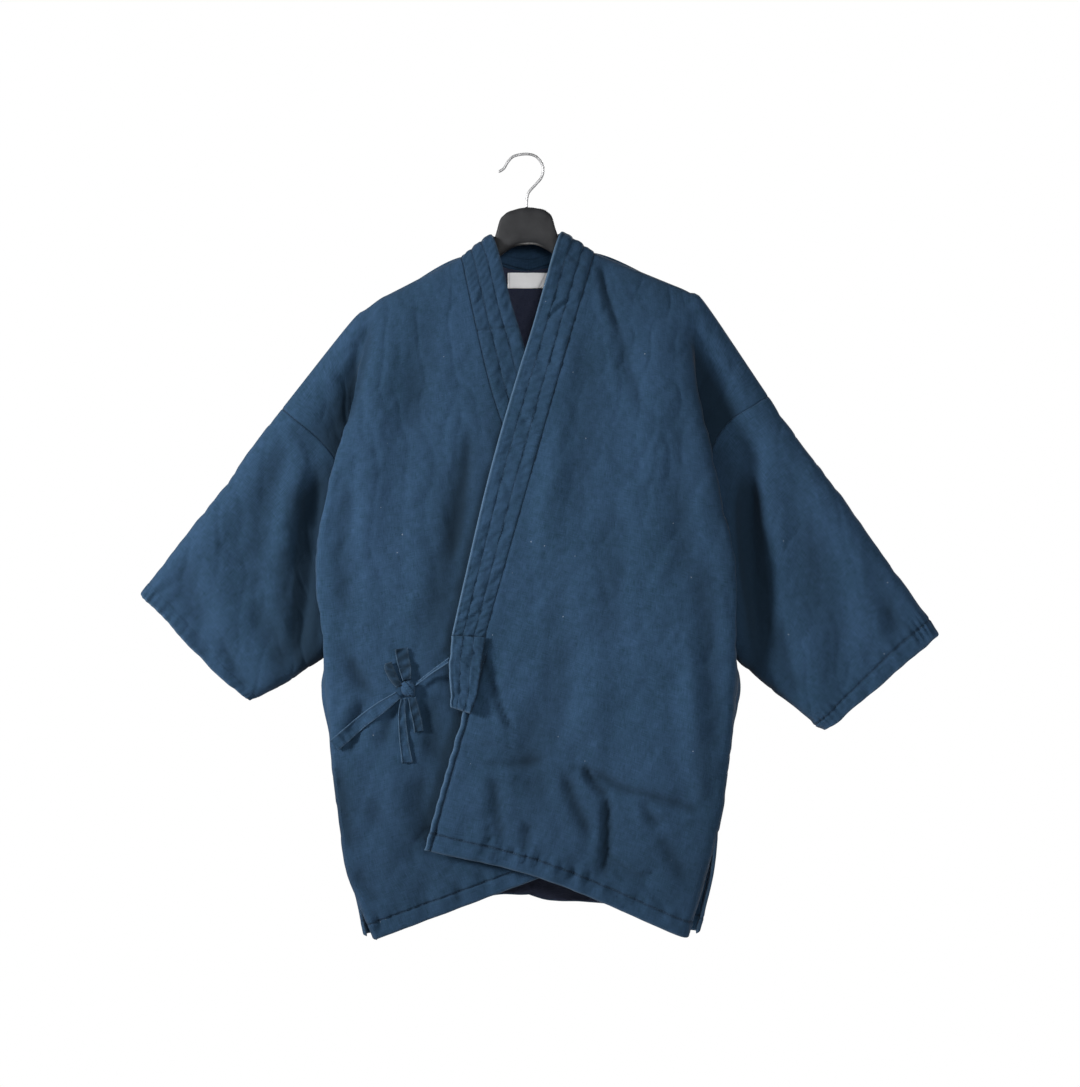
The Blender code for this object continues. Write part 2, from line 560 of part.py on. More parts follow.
def main():
    clear_scene()
    parts = bpy.data.collections.new("samue_jacket")
    bpy.context.scene.collection.children.link(parts)
    at_over, over = front_grid(OVER_SIDE, 1, OVER_LAP, OVER_HEM_RISE)
    at_under, under = front_grid(UNDER_SIDE, -1, -HIDDEN_LAP, 0)
    _, over_back = back_grid(OVER_SIDE, 1, BACK_WIDEN["over"])
    _, under_back = back_grid(UNDER_SIDE, -1, BACK_WIDEN["under"])
    cloth("front_left", over, WALL, "cloth", parts)
    cloth("front_right", under, WALL, "cloth", parts)
    cloth("back_left", over_back, WALL, "cloth", parts)
    cloth("back_right", under_back, WALL, "cloth", parts)
    sleeve("sleeve_left", over, over_back, at_over, 1, SLEEVES["over"], parts)
    sleeve("sleeve_right", under, under_back, at_under, -1, SLEEVES["under"], parts)
    front_collar("collar_left", OVER_COLLAR, over[:, 0], 1, 30, parts)
    front_collar("collar_right", UNDER_COLLAR, under[:, 0], -1, 24, parts)
    back_collar(over_back[0], under_back[0], parts)
    collar_tail(parts)
    inner_back(over_back, under_back, parts)
    bow(under[:, ::-1], parts)
    hanger(over[0], under[0], parts)
    hook(parts)


main()
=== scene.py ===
# %% [markdown]
# # A padded samue jacket on its hanger
# A samue is a plain working jacket. This one is padded cotton: two fronts that cross, two halves
# of a back, wide sleeves, a collar band quilted in three channels, and straps tied in a bow.
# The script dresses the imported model: it works out each cloth again as a fine surface, with its
# folds, seams and stitches, and puts it over the plain solid of the same name.

import bmesh
import bpy
import numpy as np
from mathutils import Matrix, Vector


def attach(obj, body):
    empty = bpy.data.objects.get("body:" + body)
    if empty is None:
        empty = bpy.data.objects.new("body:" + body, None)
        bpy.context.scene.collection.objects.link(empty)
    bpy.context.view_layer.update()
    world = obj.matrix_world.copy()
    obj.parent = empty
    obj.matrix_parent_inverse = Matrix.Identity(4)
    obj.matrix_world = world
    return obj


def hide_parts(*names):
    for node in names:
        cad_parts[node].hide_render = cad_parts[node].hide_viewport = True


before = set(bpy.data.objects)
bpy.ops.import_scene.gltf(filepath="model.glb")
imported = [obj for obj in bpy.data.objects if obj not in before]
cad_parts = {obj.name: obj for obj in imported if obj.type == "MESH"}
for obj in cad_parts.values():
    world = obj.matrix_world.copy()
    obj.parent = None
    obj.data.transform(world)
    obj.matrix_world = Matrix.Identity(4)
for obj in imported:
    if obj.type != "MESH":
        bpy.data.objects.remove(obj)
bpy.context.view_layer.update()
MM = 0.001
print("nodes:", len(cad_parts))

# %% [markdown]
# ## The cut, as a table of sections
# The jacket hangs almost flat, so every panel can be read from a few sections across the body.
# A row gives one section: the front edge, the crest of the fold under the arm, the trough behind
# it, the seam, and how deep each lies. A smooth curve through the rows fills in the rest, and
# this is the same table that the solids are made from, so the fine cloth lies on them.

# %% Tables, in millimetres
COLUMNS = ("down", "edge_x", "edge_z", "crest_x", "crest_z", "trough_x", "trough_z",
           "seam_x", "seam_z", "front", "back", "layer", "seam")
WIRE_RADIUS = 1.5
KNOT_RADII = (8.0, 5.0, 8.6)

OVER_SIDE = (
    (0.00, 74.8, -109.2, 172, -149, 192, -159, 264.5, -265.5, 0, 0, 0, 0),
    (0.12, 52.4, -187.8, 178, -224, 184, -238, 220, -296, 33, 28, 12, 12),
    (0.24, 30.0, -266.4, 196, -312, 182, -326, 196, -350, 42, 33, 10, 8),
    (0.34, 11.4, -331.9, 211, -388, 172, -404, 187, -425, 44, 35, 13, 5),
    (0.42, -3.5, -384.3, 225, -452, 163, -474, 178, -498, 45, 35, 13, 5),
    (0.45, -9.1, -403.9, 227, -476, 172, -496, 180, -512, 45, 35, 9, 1),
    (0.54, -25.8, -462.9, 229, -548, 228, -560, 225, -570, 44, 34, 10, 1),
    (0.66, -48.2, -541.6, 223, -632, 224, -638, 221, -642, 42, 32, 10, 1),
    (0.76, -66.8, -607.1, 213, -712, 213, -716, 209, -719, 40, 30, 10, 1),
    (0.88, -89.1, -684.0, 194, -788, 196, -790, 194, -791, 39, 28, 17, 13),
    (1.00, -110.0, -759.5, 174, -856, 176, -857, 174, -858, 38, 27, 18, 14),
)

UNDER_SIDE = (
    (0.00, -70.4, -113.5, -160, -160, -188, -181, -266.5, -279.5, 0, 0, 0, 0),
    (0.12, -54.6, -189.5, -181, -228, -188, -243, -226, -313.5, 27, 28, 12, 12),
    (0.24, -34.0, -272.0, -202, -314, -189, -330, -200, -356, 30, 33, 10, 8),
    (0.34, -8.0, -345.0, -216, -388, -171, -406, -186, -430, 31, 35, 13, 6),
    (0.42, 8.0, -398.0, -223, -450, -158, -478, -173, -508, 31, 35, 13, 5),
    (0.45, 15.0, -419.0, -223, -474, -166, -502, -175, -522, 31, 35, 9, 1),
    (0.54, 35.0, -480.0, -219, -550, -218, -564, -216, -577, 30, 34, 10, 1),
    (0.66, 60.0, -558.0, -213, -636, -214, -642, -211, -646, 29, 32, 10, 1),
    (0.76, 80.0, -620.0, -207, -704, -208, -708, -204, -711, 28, 30, 10, 1),
    (0.86, 100.0, -680.0, -195, -778, -196, -781, -193, -783, 27, 28, 10, 1),
    (0.93, 112.0, -717.0, -179, -820, -181, -821, -179, -822, 27, 28, 16, 13),
    (1.00, 122.0, -752.0, -163, -859, -165, -860, -163, -861, 26, 27, 17, 14),
)

# The back hangs a little wider than the front below the slits.
BACK_WIDEN = {
    "over": ((0.76, 0.0), (0.88, 10.0), (1.0, 14.0)),
    "under": ((0.86, 0.0), (0.93, 5.0), (1.0, 13.0)),
}
OVER_HEM_RISE = 12.0  # how far the over front's hem curves up between its corners

# Cuff tip and cuff corner (x, z), how far the sleeve's lower fold sags between its ends, and
# how far the cuff bows down between its own.
SLEEVES = {
    "over": {"tip": (453.5, -527.6), "corner": (329.7, -632.0), "sag": 5.0, "cuff_bow": 0.0},
    "under": {"tip": (-422.5, -484.2), "corner": (-303.6, -600.0), "sag": 9.0, "cuff_bow": 5.0},
}

# Inner edge of the collar, a row for each place along it: (z of the seam beside it, x, z, depth).
OVER_COLLAR = (
    (-109.2, 38.5, -84.0, 1.0),
    (-112.8, 37.3, -86.5, 9.0),
    (-121.2, 34.0, -95.0, 15.5),
    (-131.0, 30.5, -106.0, 20.5),
    (-160.0, 21.0, -141.0, 29.0),
    (-207.8, 6.5, -193.0, 35.0),
    (-253.3, -8.0, -240.0, 43.0),
    (-364.8, -40.0, -353.0, 49.0),
    (-469.3, -66.5, -466.0, 51.0),
    (-528.2, -80.0, -526.0, 51.0),
)
UNDER_COLLAR = (
    (-113.5, -37.5, -87.0, 1.0),
    (-117.1, -36.3, -89.5, 8.5),
    (-125.5, -33.0, -98.0, 14.0),
    (-134.9, -29.5, -109.0, 18.0),
    (-171.0, -17.5, -158.0, 23.0),
    (-218.5, -3.0, -206.0, 26.5),
    (-262.5, 9.0, -250.0, 28.0),
    (-345.0, 36.0, -332.0, 28.0),
    (-480.0, 78.0, -467.0, 27.0),
    (-558.0, 103.0, -545.0, 26.0),
)
COLLAR_BACK_DEPTH = 27.0
COLLAR_BACK_DIP = 3.0
# The end of the over collar hangs free on the front: (left x, right x, z, depth of its middle).
COLLAR_TAIL = (
    (-80.4, -43.4, -529.2, 51.5),
    (-81.8, -46.5, -545.0, 53.0),
    (-81.8, -49.0, -565.0, 53.6),
    (-81.4, -53.0, -588.0, 53.6),
    (-79.9, -60.0, -604.0, 53.4),
)
TAIL_SLANT = 7.0  # how much further its end reaches down at its right side

# The head of the hanger, a row for each place along it: (x, top, bottom, half its depth).
HANGER_HEAD = (
    (0.0, -57.5, -98.3, 9.0),
    (12.0, -59.0, -99.6, 9.0),
    (24.0, -64.0, -106.0, 8.5),
    (29.0, -70.0, -109.5, 8.0),
    (33.0, -84.0, -111.5, 7.0),
    (40.0, -101.0, -117.0, 5.0),
    (56.0, -114.5, -127.0, 4.6),
)
HANGER_TILT = 0.065  # rise towards +X for each unit along
ARM_PLACES = (78.0, 100.0, 120.0, 140.0, 160.0, 170.0)
ARM_HEIGHT = 13.0
ARM_HALF_DEPTH = 5.5
ARM_DROP = 6.0  # from the middle of the cloth over the shoulder to the top of the arm

HOOK = ((-30.3, -18.3), (-24.5, -14.5), (-19.8, -7.0), (-13.0, -0.8), (0.0, WIRE_RADIUS),
        (10.5, -0.9), (17.2, -8.4), (19.0, -16.5), (16.5, -25.0), (9.9, -32.8), (3.2, -40.5),
        (1.0, -48.0), (0.6, -57.1))


# %% [markdown]
# ## Curves and grids
# Everything here is a grid of points in millimetres. `through` is the smooth curve that reads a
# table, `normals` gives the way out of a grid, and `shell` joins an outer and an inner grid into
# one closed cloth. The wall is built from both of its faces, and not with a Solidify modifier,
# because a padded cloth thins towards its seams and rounds over at its free edges.

# %% Helpers for curves and grids
def through(knots, rows, at):
    """Cubic curve through rows[k] at knots[k]; a tangent is the weighted mean of its two slopes."""
    knots = np.asarray(knots, float)
    rows = np.asarray(rows, float)
    at = np.asarray(at, float)
    shape = (-1,) + (1,) * (rows.ndim - 1)
    step = np.diff(knots).reshape(shape)
    slope = np.diff(rows, axis=0) / step
    between = (slope[:-1] * step[1:] + slope[1:] * step[:-1]) / (step[:-1] + step[1:])
    tangent = np.concatenate([slope[:1], between, slope[-1:]])
    k = np.clip(np.searchsorted(knots, at, side="right") - 1, 0, len(knots) - 2)
    t = ((at - knots[k]) / np.diff(knots)[k]).reshape(shape)
    return (
        rows[k] * (2 * t**3 - 3 * t**2 + 1)
        + rows[k + 1] * (3 * t**2 - 2 * t**3)
        + tangent[k] * step[k] * (t**3 - 2 * t**2 + t)
        + tangent[k + 1] * step[k] * (t**3 - t**2)
    )


def lengths(points):
    """Distance along a line of points, from its first point."""
    steps = np.linalg.norm(np.diff(points, axis=0), axis=1)
    return np.concatenate([[0], np.cumsum(steps)])


def at_lengths(points, wanted):
    """Points of a line at the wanted distances along it."""
    along = lengths(points)
    return np.stack([np.interp(wanted, along, points[:, k]) for k in range(3)], axis=1)


def unit(vectors):
    """Vectors divided by their own lengths."""
    return vectors / np.maximum(np.linalg.norm(vectors, axis=-1, keepdims=True), 1e-9)


def normals(grid, closed=False):
    """Cross product of the two directions of a grid; closed joins its last column to its first."""
    wide = np.concatenate([grid[:, -1:], grid, grid[:, :1]], axis=1) if closed else grid
    cross = np.cross(np.gradient(wide, axis=0), np.gradient(wide, axis=1))
    return unit(cross[:, 1:-1] if closed else cross)


def smooth(low, high, value):
    """0 below low, 1 above high, and 3t^2 - 2t^3 between them."""
    t = np.clip((value - low) / (high - low), 0, 1)
    return t * t * (3 - 2 * t)


def rounded(distance, radius):
    """Height of a quarter circle: sqrt(1 - (1 - d/r)^2), level past its radius."""
    return np.sqrt(np.maximum(1 - (1 - np.clip(distance / radius, 0, 1)) ** 2, 0))


def tray(grid, closed=False):
    """Faces of a grid and, for each face corner, its row and its column counted past the join."""
    rows, columns = grid.shape[:2]
    last = columns if closed else columns - 1
    down, along = np.meshgrid(np.arange(rows - 1), np.arange(last), indexing="ij")
    row = np.stack([down, down, down + 1, down + 1], axis=-1).reshape(-1, 4)
    column = np.stack([along, along + 1, along + 1, along], axis=-1).reshape(-1, 4)
    return row * columns + column % columns, row, column


def shell(name, outer, inner, finish, closed=False, seam=None, highlight_and_wear=None, fold=None):
    """A closed cloth from its outer and inner faces, with rims round its open edges.

    UV is measured in metres along the outer face; the seam and fold marks (painted shade) and the pale edge
    mark (painted highlight) are kept for each point.
    """
    rows, columns = outer.shape[:2]
    count = rows * columns
    face, row, column = tray(outer, closed)
    index = np.arange(count).reshape(rows, columns)
    if closed:
        loops = [index[0], index[-1, ::-1]]
    else:
        loops = [np.concatenate([index[0, :-1], index[:-1, -1], index[-1, :0:-1], index[:0:-1, 0]])]
    rim = np.concatenate([np.stack([np.roll(k, -1), k, k + count, np.roll(k, -1) + count], 1) for k in loops])
    points = np.concatenate([outer.reshape(-1, 3), inner.reshape(-1, 3)]) * MM
    ring = np.concatenate([outer, outer[:, :1]], axis=1) if closed else outer
    step_u = np.linalg.norm(np.diff(ring, axis=1), axis=2).mean(axis=0)
    step_v = np.linalg.norm(np.diff(outer, axis=0), axis=2).mean(axis=1)
    u = np.concatenate([[0], np.cumsum(step_u)]) * MM
    v = np.concatenate([[0], np.cumsum(step_v)]) * MM
    face_uv = np.stack([u[column], v[row]], axis=-1)
    rim_uv = np.stack([u[rim % count % columns], v[rim % count // columns]], axis=-1)
    faces = np.concatenate([face, face[:, ::-1] + count, rim])
    uv = np.concatenate([face_uv, face_uv[:, ::-1], rim_uv])
    first, second, third = (points[faces[:, k]] for k in range(3))
    if np.einsum("ij,ij->", first - points.mean(axis=0), np.cross(second - first, third - first)) < 0:
        faces = faces[:, ::-1]
        uv = uv[:, ::-1]
    mesh = bpy.data.meshes.new(name)
    mesh.from_pydata(points.tolist(), [], faces.tolist())
    mesh.uv_layers.new(name="UVMap").data.foreach_set("uv", uv.astype(np.float32).ravel())
    for label, values in (("seam", seam), ("highlight_and_wear", highlight_and_wear), ("fold", fold)):
        marks = np.broadcast_to(0.0 if values is None else values, (rows, columns))
        keep(mesh, label, np.tile(marks.ravel(), 2))
    return place(name, mesh, finish)


def keep(mesh, name, values):
    """Keeps one value for each point of a mesh, for its finish to read."""
    kept = mesh.attributes.new(name, "FLOAT", "POINT")
    kept.data.foreach_set("value", np.asarray(values, np.float32).ravel())


def place(name, mesh, finish):
    """Puts a mesh into the scene as a smooth piece with its finish; the piece rides on the body."""
    mesh.polygons.foreach_set("use_smooth", np.ones(len(mesh.polygons), bool))
    thing = bpy.data.objects.new(name, mesh)
    mesh.materials.append(FINISHES[finish])
    bpy.context.scene.collection.objects.link(thing)
    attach(thing, "root")
    return thing


# %% [markdown]
# ## Creases
# A crease is a short row in a table: its two ends, how far its middle bows sideways, its width
# and its depth. It sinks by depth * (exp(-1.2 * (d / width)^p) - a low ridge beside it), with d
# the distance from the bowed line, faded out at both ends; p is near 1 for a narrow crease, so
# that it is sharp, and 2 for a wide soft one. A width past 9 mm lessens the depth, by 9 / width.
# A negative depth is a ridge. Listed one by one, they stay where the photograph shows them, which a
# simulation would not do.

# %% Creases and the slow unevenness of padding
def creases(table, x, z):
    """How far the cloth sinks at each place (x, z), summed over a table of creases."""
    sink = np.zeros(x.shape)
    for x0, z0, x1, z1, bow, width, depth in table:
        run = np.hypot(x1 - x0, z1 - z0)
        way_x, way_z = (x1 - x0) / run, (z1 - z0) / run
        t = ((x - x0) * way_x + (z - z0) * way_z) / run
        off = (x - x0) * way_z - (z - z0) * way_x - bow * 4 * t * (1 - t)
        ends = smooth(-0.12, 0.22, t) * smooth(1.12, 0.78, t)
        slack = width * (1 + 0.5 * t * (1 - t))
        far = np.sqrt((off / slack) ** 2 + 0.04) - 0.2
        power = 1.15 if width < 10 else 2.0
        rise = 0.32 * np.exp(-(((off - 2.1 * slack) / slack) ** 2))
        sink += depth * min(1.0, 9.0 / width) * ends * (np.exp(-1.2 * far**power) - rise)
    return sink


def painted_crease_shade(sink):
    """Painted shade in a crease: darker the deeper the cloth sinks there, none where it is raised."""
    return np.clip(sink / 4.6, 0, 0.78) ** 1.3


def waves(x, z, seed, coarse=120.0, fine=14.0, count=26):
    """Sum of sine waves in fixed random directions, each as high as it is long, about 1 in all."""
    dice = np.random.default_rng(seed)
    total = np.zeros(np.broadcast_shapes(np.shape(x), np.shape(z)))
    for size in np.geomspace(coarse, fine, count):
        turn, phase = dice.uniform(0, 2 * np.pi, 2)
        total += size * np.sin(2 * np.pi * (x * np.cos(turn) + z * np.sin(turn)) / size + phase)
    return total / np.sqrt((np.geomspace(coarse, fine, count) ** 2).sum() / 2)


def shadow(shades, x, z):
    """Soft dark bands: dark * exp(-(d / width)^2), with d the distance from the band's line."""
    dark = np.zeros(x.shape)
    for x0, z0, x1, z1, width, most in shades:
        run = np.hypot(x1 - x0, z1 - z0)
        way_x, way_z = (x1 - x0) / run, (z1 - z0) / run
        t = np.clip(((x - x0) * way_x + (z - z0) * way_z) / run, 0, 1)
        off = np.hypot(x - x0 - t * run * way_x, z - z0 - t * run * way_z)
        dark = np.maximum(dark, most * np.exp(-((off / width) ** 2)))
    return dark


def crumple(x, z, seed, size=110.0):
    """Thin creases, 0 to 1 deep: exp(-(n / 0.16)^2) along the lines where a slow noise n is 0."""
    line = np.exp(-((waves(x, z, seed, size, size / 3, 9) / 0.16) ** 2))
    shown = smooth(0.1, 1.1, waves(x, z, seed + 1, 150, 60, 9))
    return line * shown


def drawn(x, z, seed):
    """Soft cotton's own creases, 0 to 1 deep: exp(-2.4 * |n|) is sharp where a slow noise n is 0."""
    return np.exp(-2.4 * np.abs(waves(x, z * 0.42, seed, 72, 20, 14)))


def puckers(along, away, seed, pitch=13.0, reach=9.0):
    """Small ripples across a line of stitches: they fade with the distance away from it."""
    dice = np.random.default_rng(seed)
    shift = dice.uniform(0, 2 * np.pi, 3)
    warp = along + 5 * np.sin(along / 31 + shift[0]) + 3 * np.sin(along / 17 + shift[1])
    strength = 0.65 + 0.35 * np.sin(along / 47 + shift[2])
    return strength * np.sin(2 * np.pi * warp / pitch) * np.exp(-((away / reach) ** 2))


OVER_CREASES = (
    (63, -668, 88, -701, 2, 4.5, 4.0),
    (88, -698, 84, -793, -2, 4.5, 4.5),
    (75, -674, 125, -700, 3, 5, 2.6),
    (121, -696, 191, -718, 0, 6, 2.6),
    (43, -676, 73, -746, 3, 6, 3.0),
    (127, -704, 146, -735, 2, 5, 2.4),
    (-45, -550, -29, -599, 1, 4, 3.2),
    (-31, -597, -15, -628, 0, 3.5, 3.0),
    (-33, -677, -26, -752, 2, 6, 2.6),
    (2, -729, -3, -762, -2, 5, 2.4),
    (4, -599, 15, -709, 4, 14, 2.6),
    (37, -445, 29, -643, -5, 18, 2.8),
    (81, -533, 70, -665, 5, 16, -2.6),
    (80, -118, 102, -194, 2, 4.5, 3.0),
    (102, -192, 136, -291, 3, 8, 2.0),
    (136, -203, 150, -357, 4, 20, -3.0),
    (165, -269, 180, -489, 6, 14, 3.2),
    (125, -346, 142, -643, -6, 22, -3.0),
    (198, -445, 205, -643, 3, 12, 3.0),
    (180, -533, 191, -709, 3, 10, -2.6),
    (65, -192, 54, -401, -4, 16, 2.4),
    (103, -379, 95, -544, 4, 16, 2.2),
    (40, -291, 21, -445, 2, 12, -2.2),
    (-51, -665, 21, -661, 3, 6, 1.8),
    (-62, -630, -7, -645, 2, 5, -1.6),
    (147, -742, 180, -797, 2, 8, 2.2),
)
UNDER_CREASES = (
    (-199, -535, -161, -599, 6, 9, 1.9),
    (-191, -550, -169, -588, 2, 7, 1.5),
    (-176, -599, -191, -656, 3, 7, 2.8),
    (-88, -313, -103, -533, -6, 16, 3.8),
    (-62, -302, -81, -445, -2, 9, 3.0),
    (-156, -192, -180, -445, -6, 18, -2.8),
    (-125, -225, -141, -511, 5, 18, 2.4),
    (-169, -181, -198, -302, -3, 9, 3.0),
    (-106, -159, -117, -302, 2, 14, 2.0),
    (-191, -357, -196, -511, 2, 11, 2.6),
    (-205, -665, -191, -764, 2, 9, 2.6),
    (-169, -709, -128, -755, 3, 10, 2.2),
    (-106, -599, -95, -665, 2, 10, 2.4),
    (-143, -665, -152, -775, -3, 13, -2.2),
    (-117, -676, -106, -764, 2, 12, 2.4),
    (-183, -786, -161, -819, 1, 7, 2.0),
    (-139, -599, -155, -649, 2, 8, 2.4),
)
RIGHT_SLEEVE_CREASES = (
    (-226, -350, -248, -560, 10, 12, 4.6),
    (-229, -346, -249, -542, -6, 8, 3.4),
    (-242, -313, -266, -445, 4, 10, -2.4),
    (-266, -313, -290, -489, 6, 14, 2.4),
    (-315, -357, -284, -555, 10, 18, 2.6),
    (-342, -401, -317, -533, 6, 14, -2.4),
    (-374, -445, -352, -520, 3, 12, 2.2),
    (-290, -489, -260, -568, 3, 10, 2.6),
    (-331, -533, -304, -592, 2, 7, 2.4),
    (-363, -524, -348, -555, 1, 6, 2.0),
    (-257, -295, -224, -326, 1, 6, 2.0),
)
LEFT_SLEEVE_CREASES = (
    (232, -330, 262, -560, -8, 12, 4.6),
    (249, -346, 257, -544, 6, 9, 3.6),
    (271, -302, 275, -445, 4, 12, -2.4),
    (290, -324, 308, -533, -6, 14, 2.6),
    (315, -401, 341, -588, -4, 16, 2.4),
    (345, -401, 381, -555, -6, 14, -2.6),
    (376, -445, 407, -533, -3, 10, 2.0),
    (235, -379, 244, -489, 2, 7, 3.0),
    (279, -511, 301, -599, 2, 9, 2.4),
    (230, -291, 257, -346, 2, 8, 2.4),
    (389, -489, 428, -533, 2, 8, 1.8),
    (301, -269, 352, -346, 2, 14, 1.8),
)
BACK_CREASES = (
    (-150, -250, -120, -420, 6, 16, 3.0),
    (-60, -180, -40, -420, -5, 22, 2.6),
    (60, -200, 90, -430, 6, 20, 2.8),
    (150, -260, 170, -470, 4, 14, 3.0),
    (-170, -480, -150, -700, 5, 14, 3.0),
    (-90, -450, -105, -760, -6, 20, 2.6),
    (-20, -420, -16, -760, 4, 16, 2.2),
    (70, -460, 60, -780, -5, 20, 2.8),
    (140, -480, 150, -760, 5, 16, 2.8),
    (-130, -700, -60, -800, 6, 9, 2.6),
    (100, -690, 150, -800, 5, 8, 3.0),
    (30, -700, 90, -800, 4, 9, 2.4),
    (-190, -640, -120, -690, 5, 8, 2.6),
    (200, -600, 130, -660, -5, 9, 2.6),
    (-30, -160, -80, -230, 4, 9, 2.2),
    (40, -160, 95, -235, -4, 9, 2.4),
)

# Deep shade where the body hides a sleeve and a front lies over the other: a row for each soft
# band, (x0, z0, x1, z1, width, dark).
LEFT_SLEEVE_SHADES = (
    (212, -330, 250, -440, 15, 0.5),
    (238, -385, 252, -560, 22, 0.75),
    (254, -440, 268, -600, 16, 0.4),
)
RIGHT_SLEEVE_SHADES = (
    (-212, -350, -240, -440, 15, 0.6),
    (-238, -385, -236, -580, 20, 0.95),
    (-262, -440, -270, -600, 14, 0.45),
)
UNDER_SHADES = (
    (-4, -235, -27, -308, 7, 0.7),
    (-27, -308, -54, -404, 7, 0.8),
    (-54, -404, -72, -476, 7, 0.8),
    (-72, -476, -86, -543, 7, 0.75),
    (-86, -543, -83, -604, 7, 0.5),
    (-70, -612, -88, -665, 10, 0.9),
    (-88, -665, -108, -745, 9, 0.85),
    (-92, -612, -125, -750, 34, 0.3),
    (-20, -250, -98, -560, 26, 0.26),
    (-200, -700, -190, -790, 22, 0.28),
    (-160, -730, -110, -790, 70, 0.2),
)
OVER_SHADES = (
    (-44, -535, -56, -592, 5, 0.75),
    (10, -700, 150, -790, 80, 0.2),
    (196, -640, 186, -800, 20, 0.28),
)

# %% [markdown]
# ## Finishes
# Each finish is a node material. `Value` wraps a socket, so that shader sums read as Python, and
# `Finish.node` makes any other node. The cotton is a matt weave: fine threads both ways, some
# thicker than others, a little fading, painted shade in creases and seams, painted highlight on edges.

# %% Shader sums as Python
class Value:
    """A socket that gives one number; an operator on it adds a Math node."""

    def __init__(self, tree, socket):
        self.tree = tree
        self.socket = socket

    def sum_with(self, operation, first, second):
        """A Math node of two terms, each a number or a Value."""
        made = self.tree.nodes.new("ShaderNodeMath")
        made.operation = operation
        for slot_in, item in zip(made.inputs, (first, second)):
            if isinstance(item, Value):
                self.tree.links.new(item.socket, slot_in)
            else:
                slot_in.default_value = item
        return Value(self.tree, made.outputs[0])

    def __add__(self, other):
        return self.sum_with("ADD", self, other)

    __radd__ = __add__

    def __mul__(self, other):
        return self.sum_with("MULTIPLY", self, other)

    __rmul__ = __mul__

    def __sub__(self, other):
        return self.sum_with("SUBTRACT", self, other)

    def __rsub__(self, other):
        return self.sum_with("SUBTRACT", other, self)


class Finish:
    """A material on one Principled shader, built node by node."""

    def __init__(self, name, **constants):
        self.material = bpy.data.materials.new(name)
        self.material.use_nodes = True
        self.tree = self.material.node_tree
        self.shader = self.tree.nodes["Principled BSDF"]
        for socket, value in constants.items():
            self.shader.inputs[socket.replace("_", " ")].default_value = value

    def node(self, kind, settings=None, inputs=None, output=0):
        """A node of any kind: its settings first, then the values or links of its sockets."""
        made = self.tree.nodes.new("ShaderNode" + kind)
        for setting, value in (settings or {}).items():
            setattr(made, setting, value)
        for socket, value in (inputs or {}).items():
            if isinstance(value, Value):
                self.tree.links.new(value.socket, made.inputs[socket])
            else:
                made.inputs[socket].default_value = value
        return Value(self.tree, made.outputs[output])

    def place(self, kind="Object", scale=(1, 1, 1)):
        """Texture coordinates of a kind, times a scale each way."""
        where = self.node("TexCoord", output=kind)
        return self.node("Mapping", {}, {"Vector": where, "Scale": scale})

    def noise(self, where, scale, detail=3.0, roughness=0.55):
        """A noise texture, 0 to 1, about 0.5 on average."""
        inputs = {"Vector": where, "Scale": scale, "Detail": detail, "Roughness": roughness}
        return self.node("TexNoise", {}, inputs)

    def mark(self, name):
        """A value kept for each point of the mesh: seam or fold, both painted shade, or the pale edge, a
        painted highlight on cloth and pale grey marks on the hanger.
        """
        return self.node("Attribute", {"attribute_name": name}, output="Fac")

    def mix(self, factor, first, second):
        """Colour first where the factor is 0 and second where it is 1."""
        made = self.tree.nodes.new("ShaderNodeMix")
        made.data_type = "RGBA"
        for slot_in, item in zip((made.inputs[0], made.inputs[6], made.inputs[7]), (factor, first, second)):
            if isinstance(item, Value):
                self.tree.links.new(item.socket, slot_in)
            else:
                slot_in.default_value = item
        return Value(self.tree, made.outputs[2])

    def bump(self, height, distance, strength=1.0, normal=None):
        """The normal tilted by the slope of height * distance, in metres, on top of another normal."""
        inputs = {"Height": height, "Distance": distance, "Strength": strength}
        if normal is not None:
            inputs["Normal"] = normal
        return self.node("Bump", {}, inputs)

    def feed(self, **values):
        """Links values to the shader's own sockets."""
        for socket, value in values.items():
            self.tree.links.new(value.socket, self.shader.inputs[socket.replace("_", " ")])


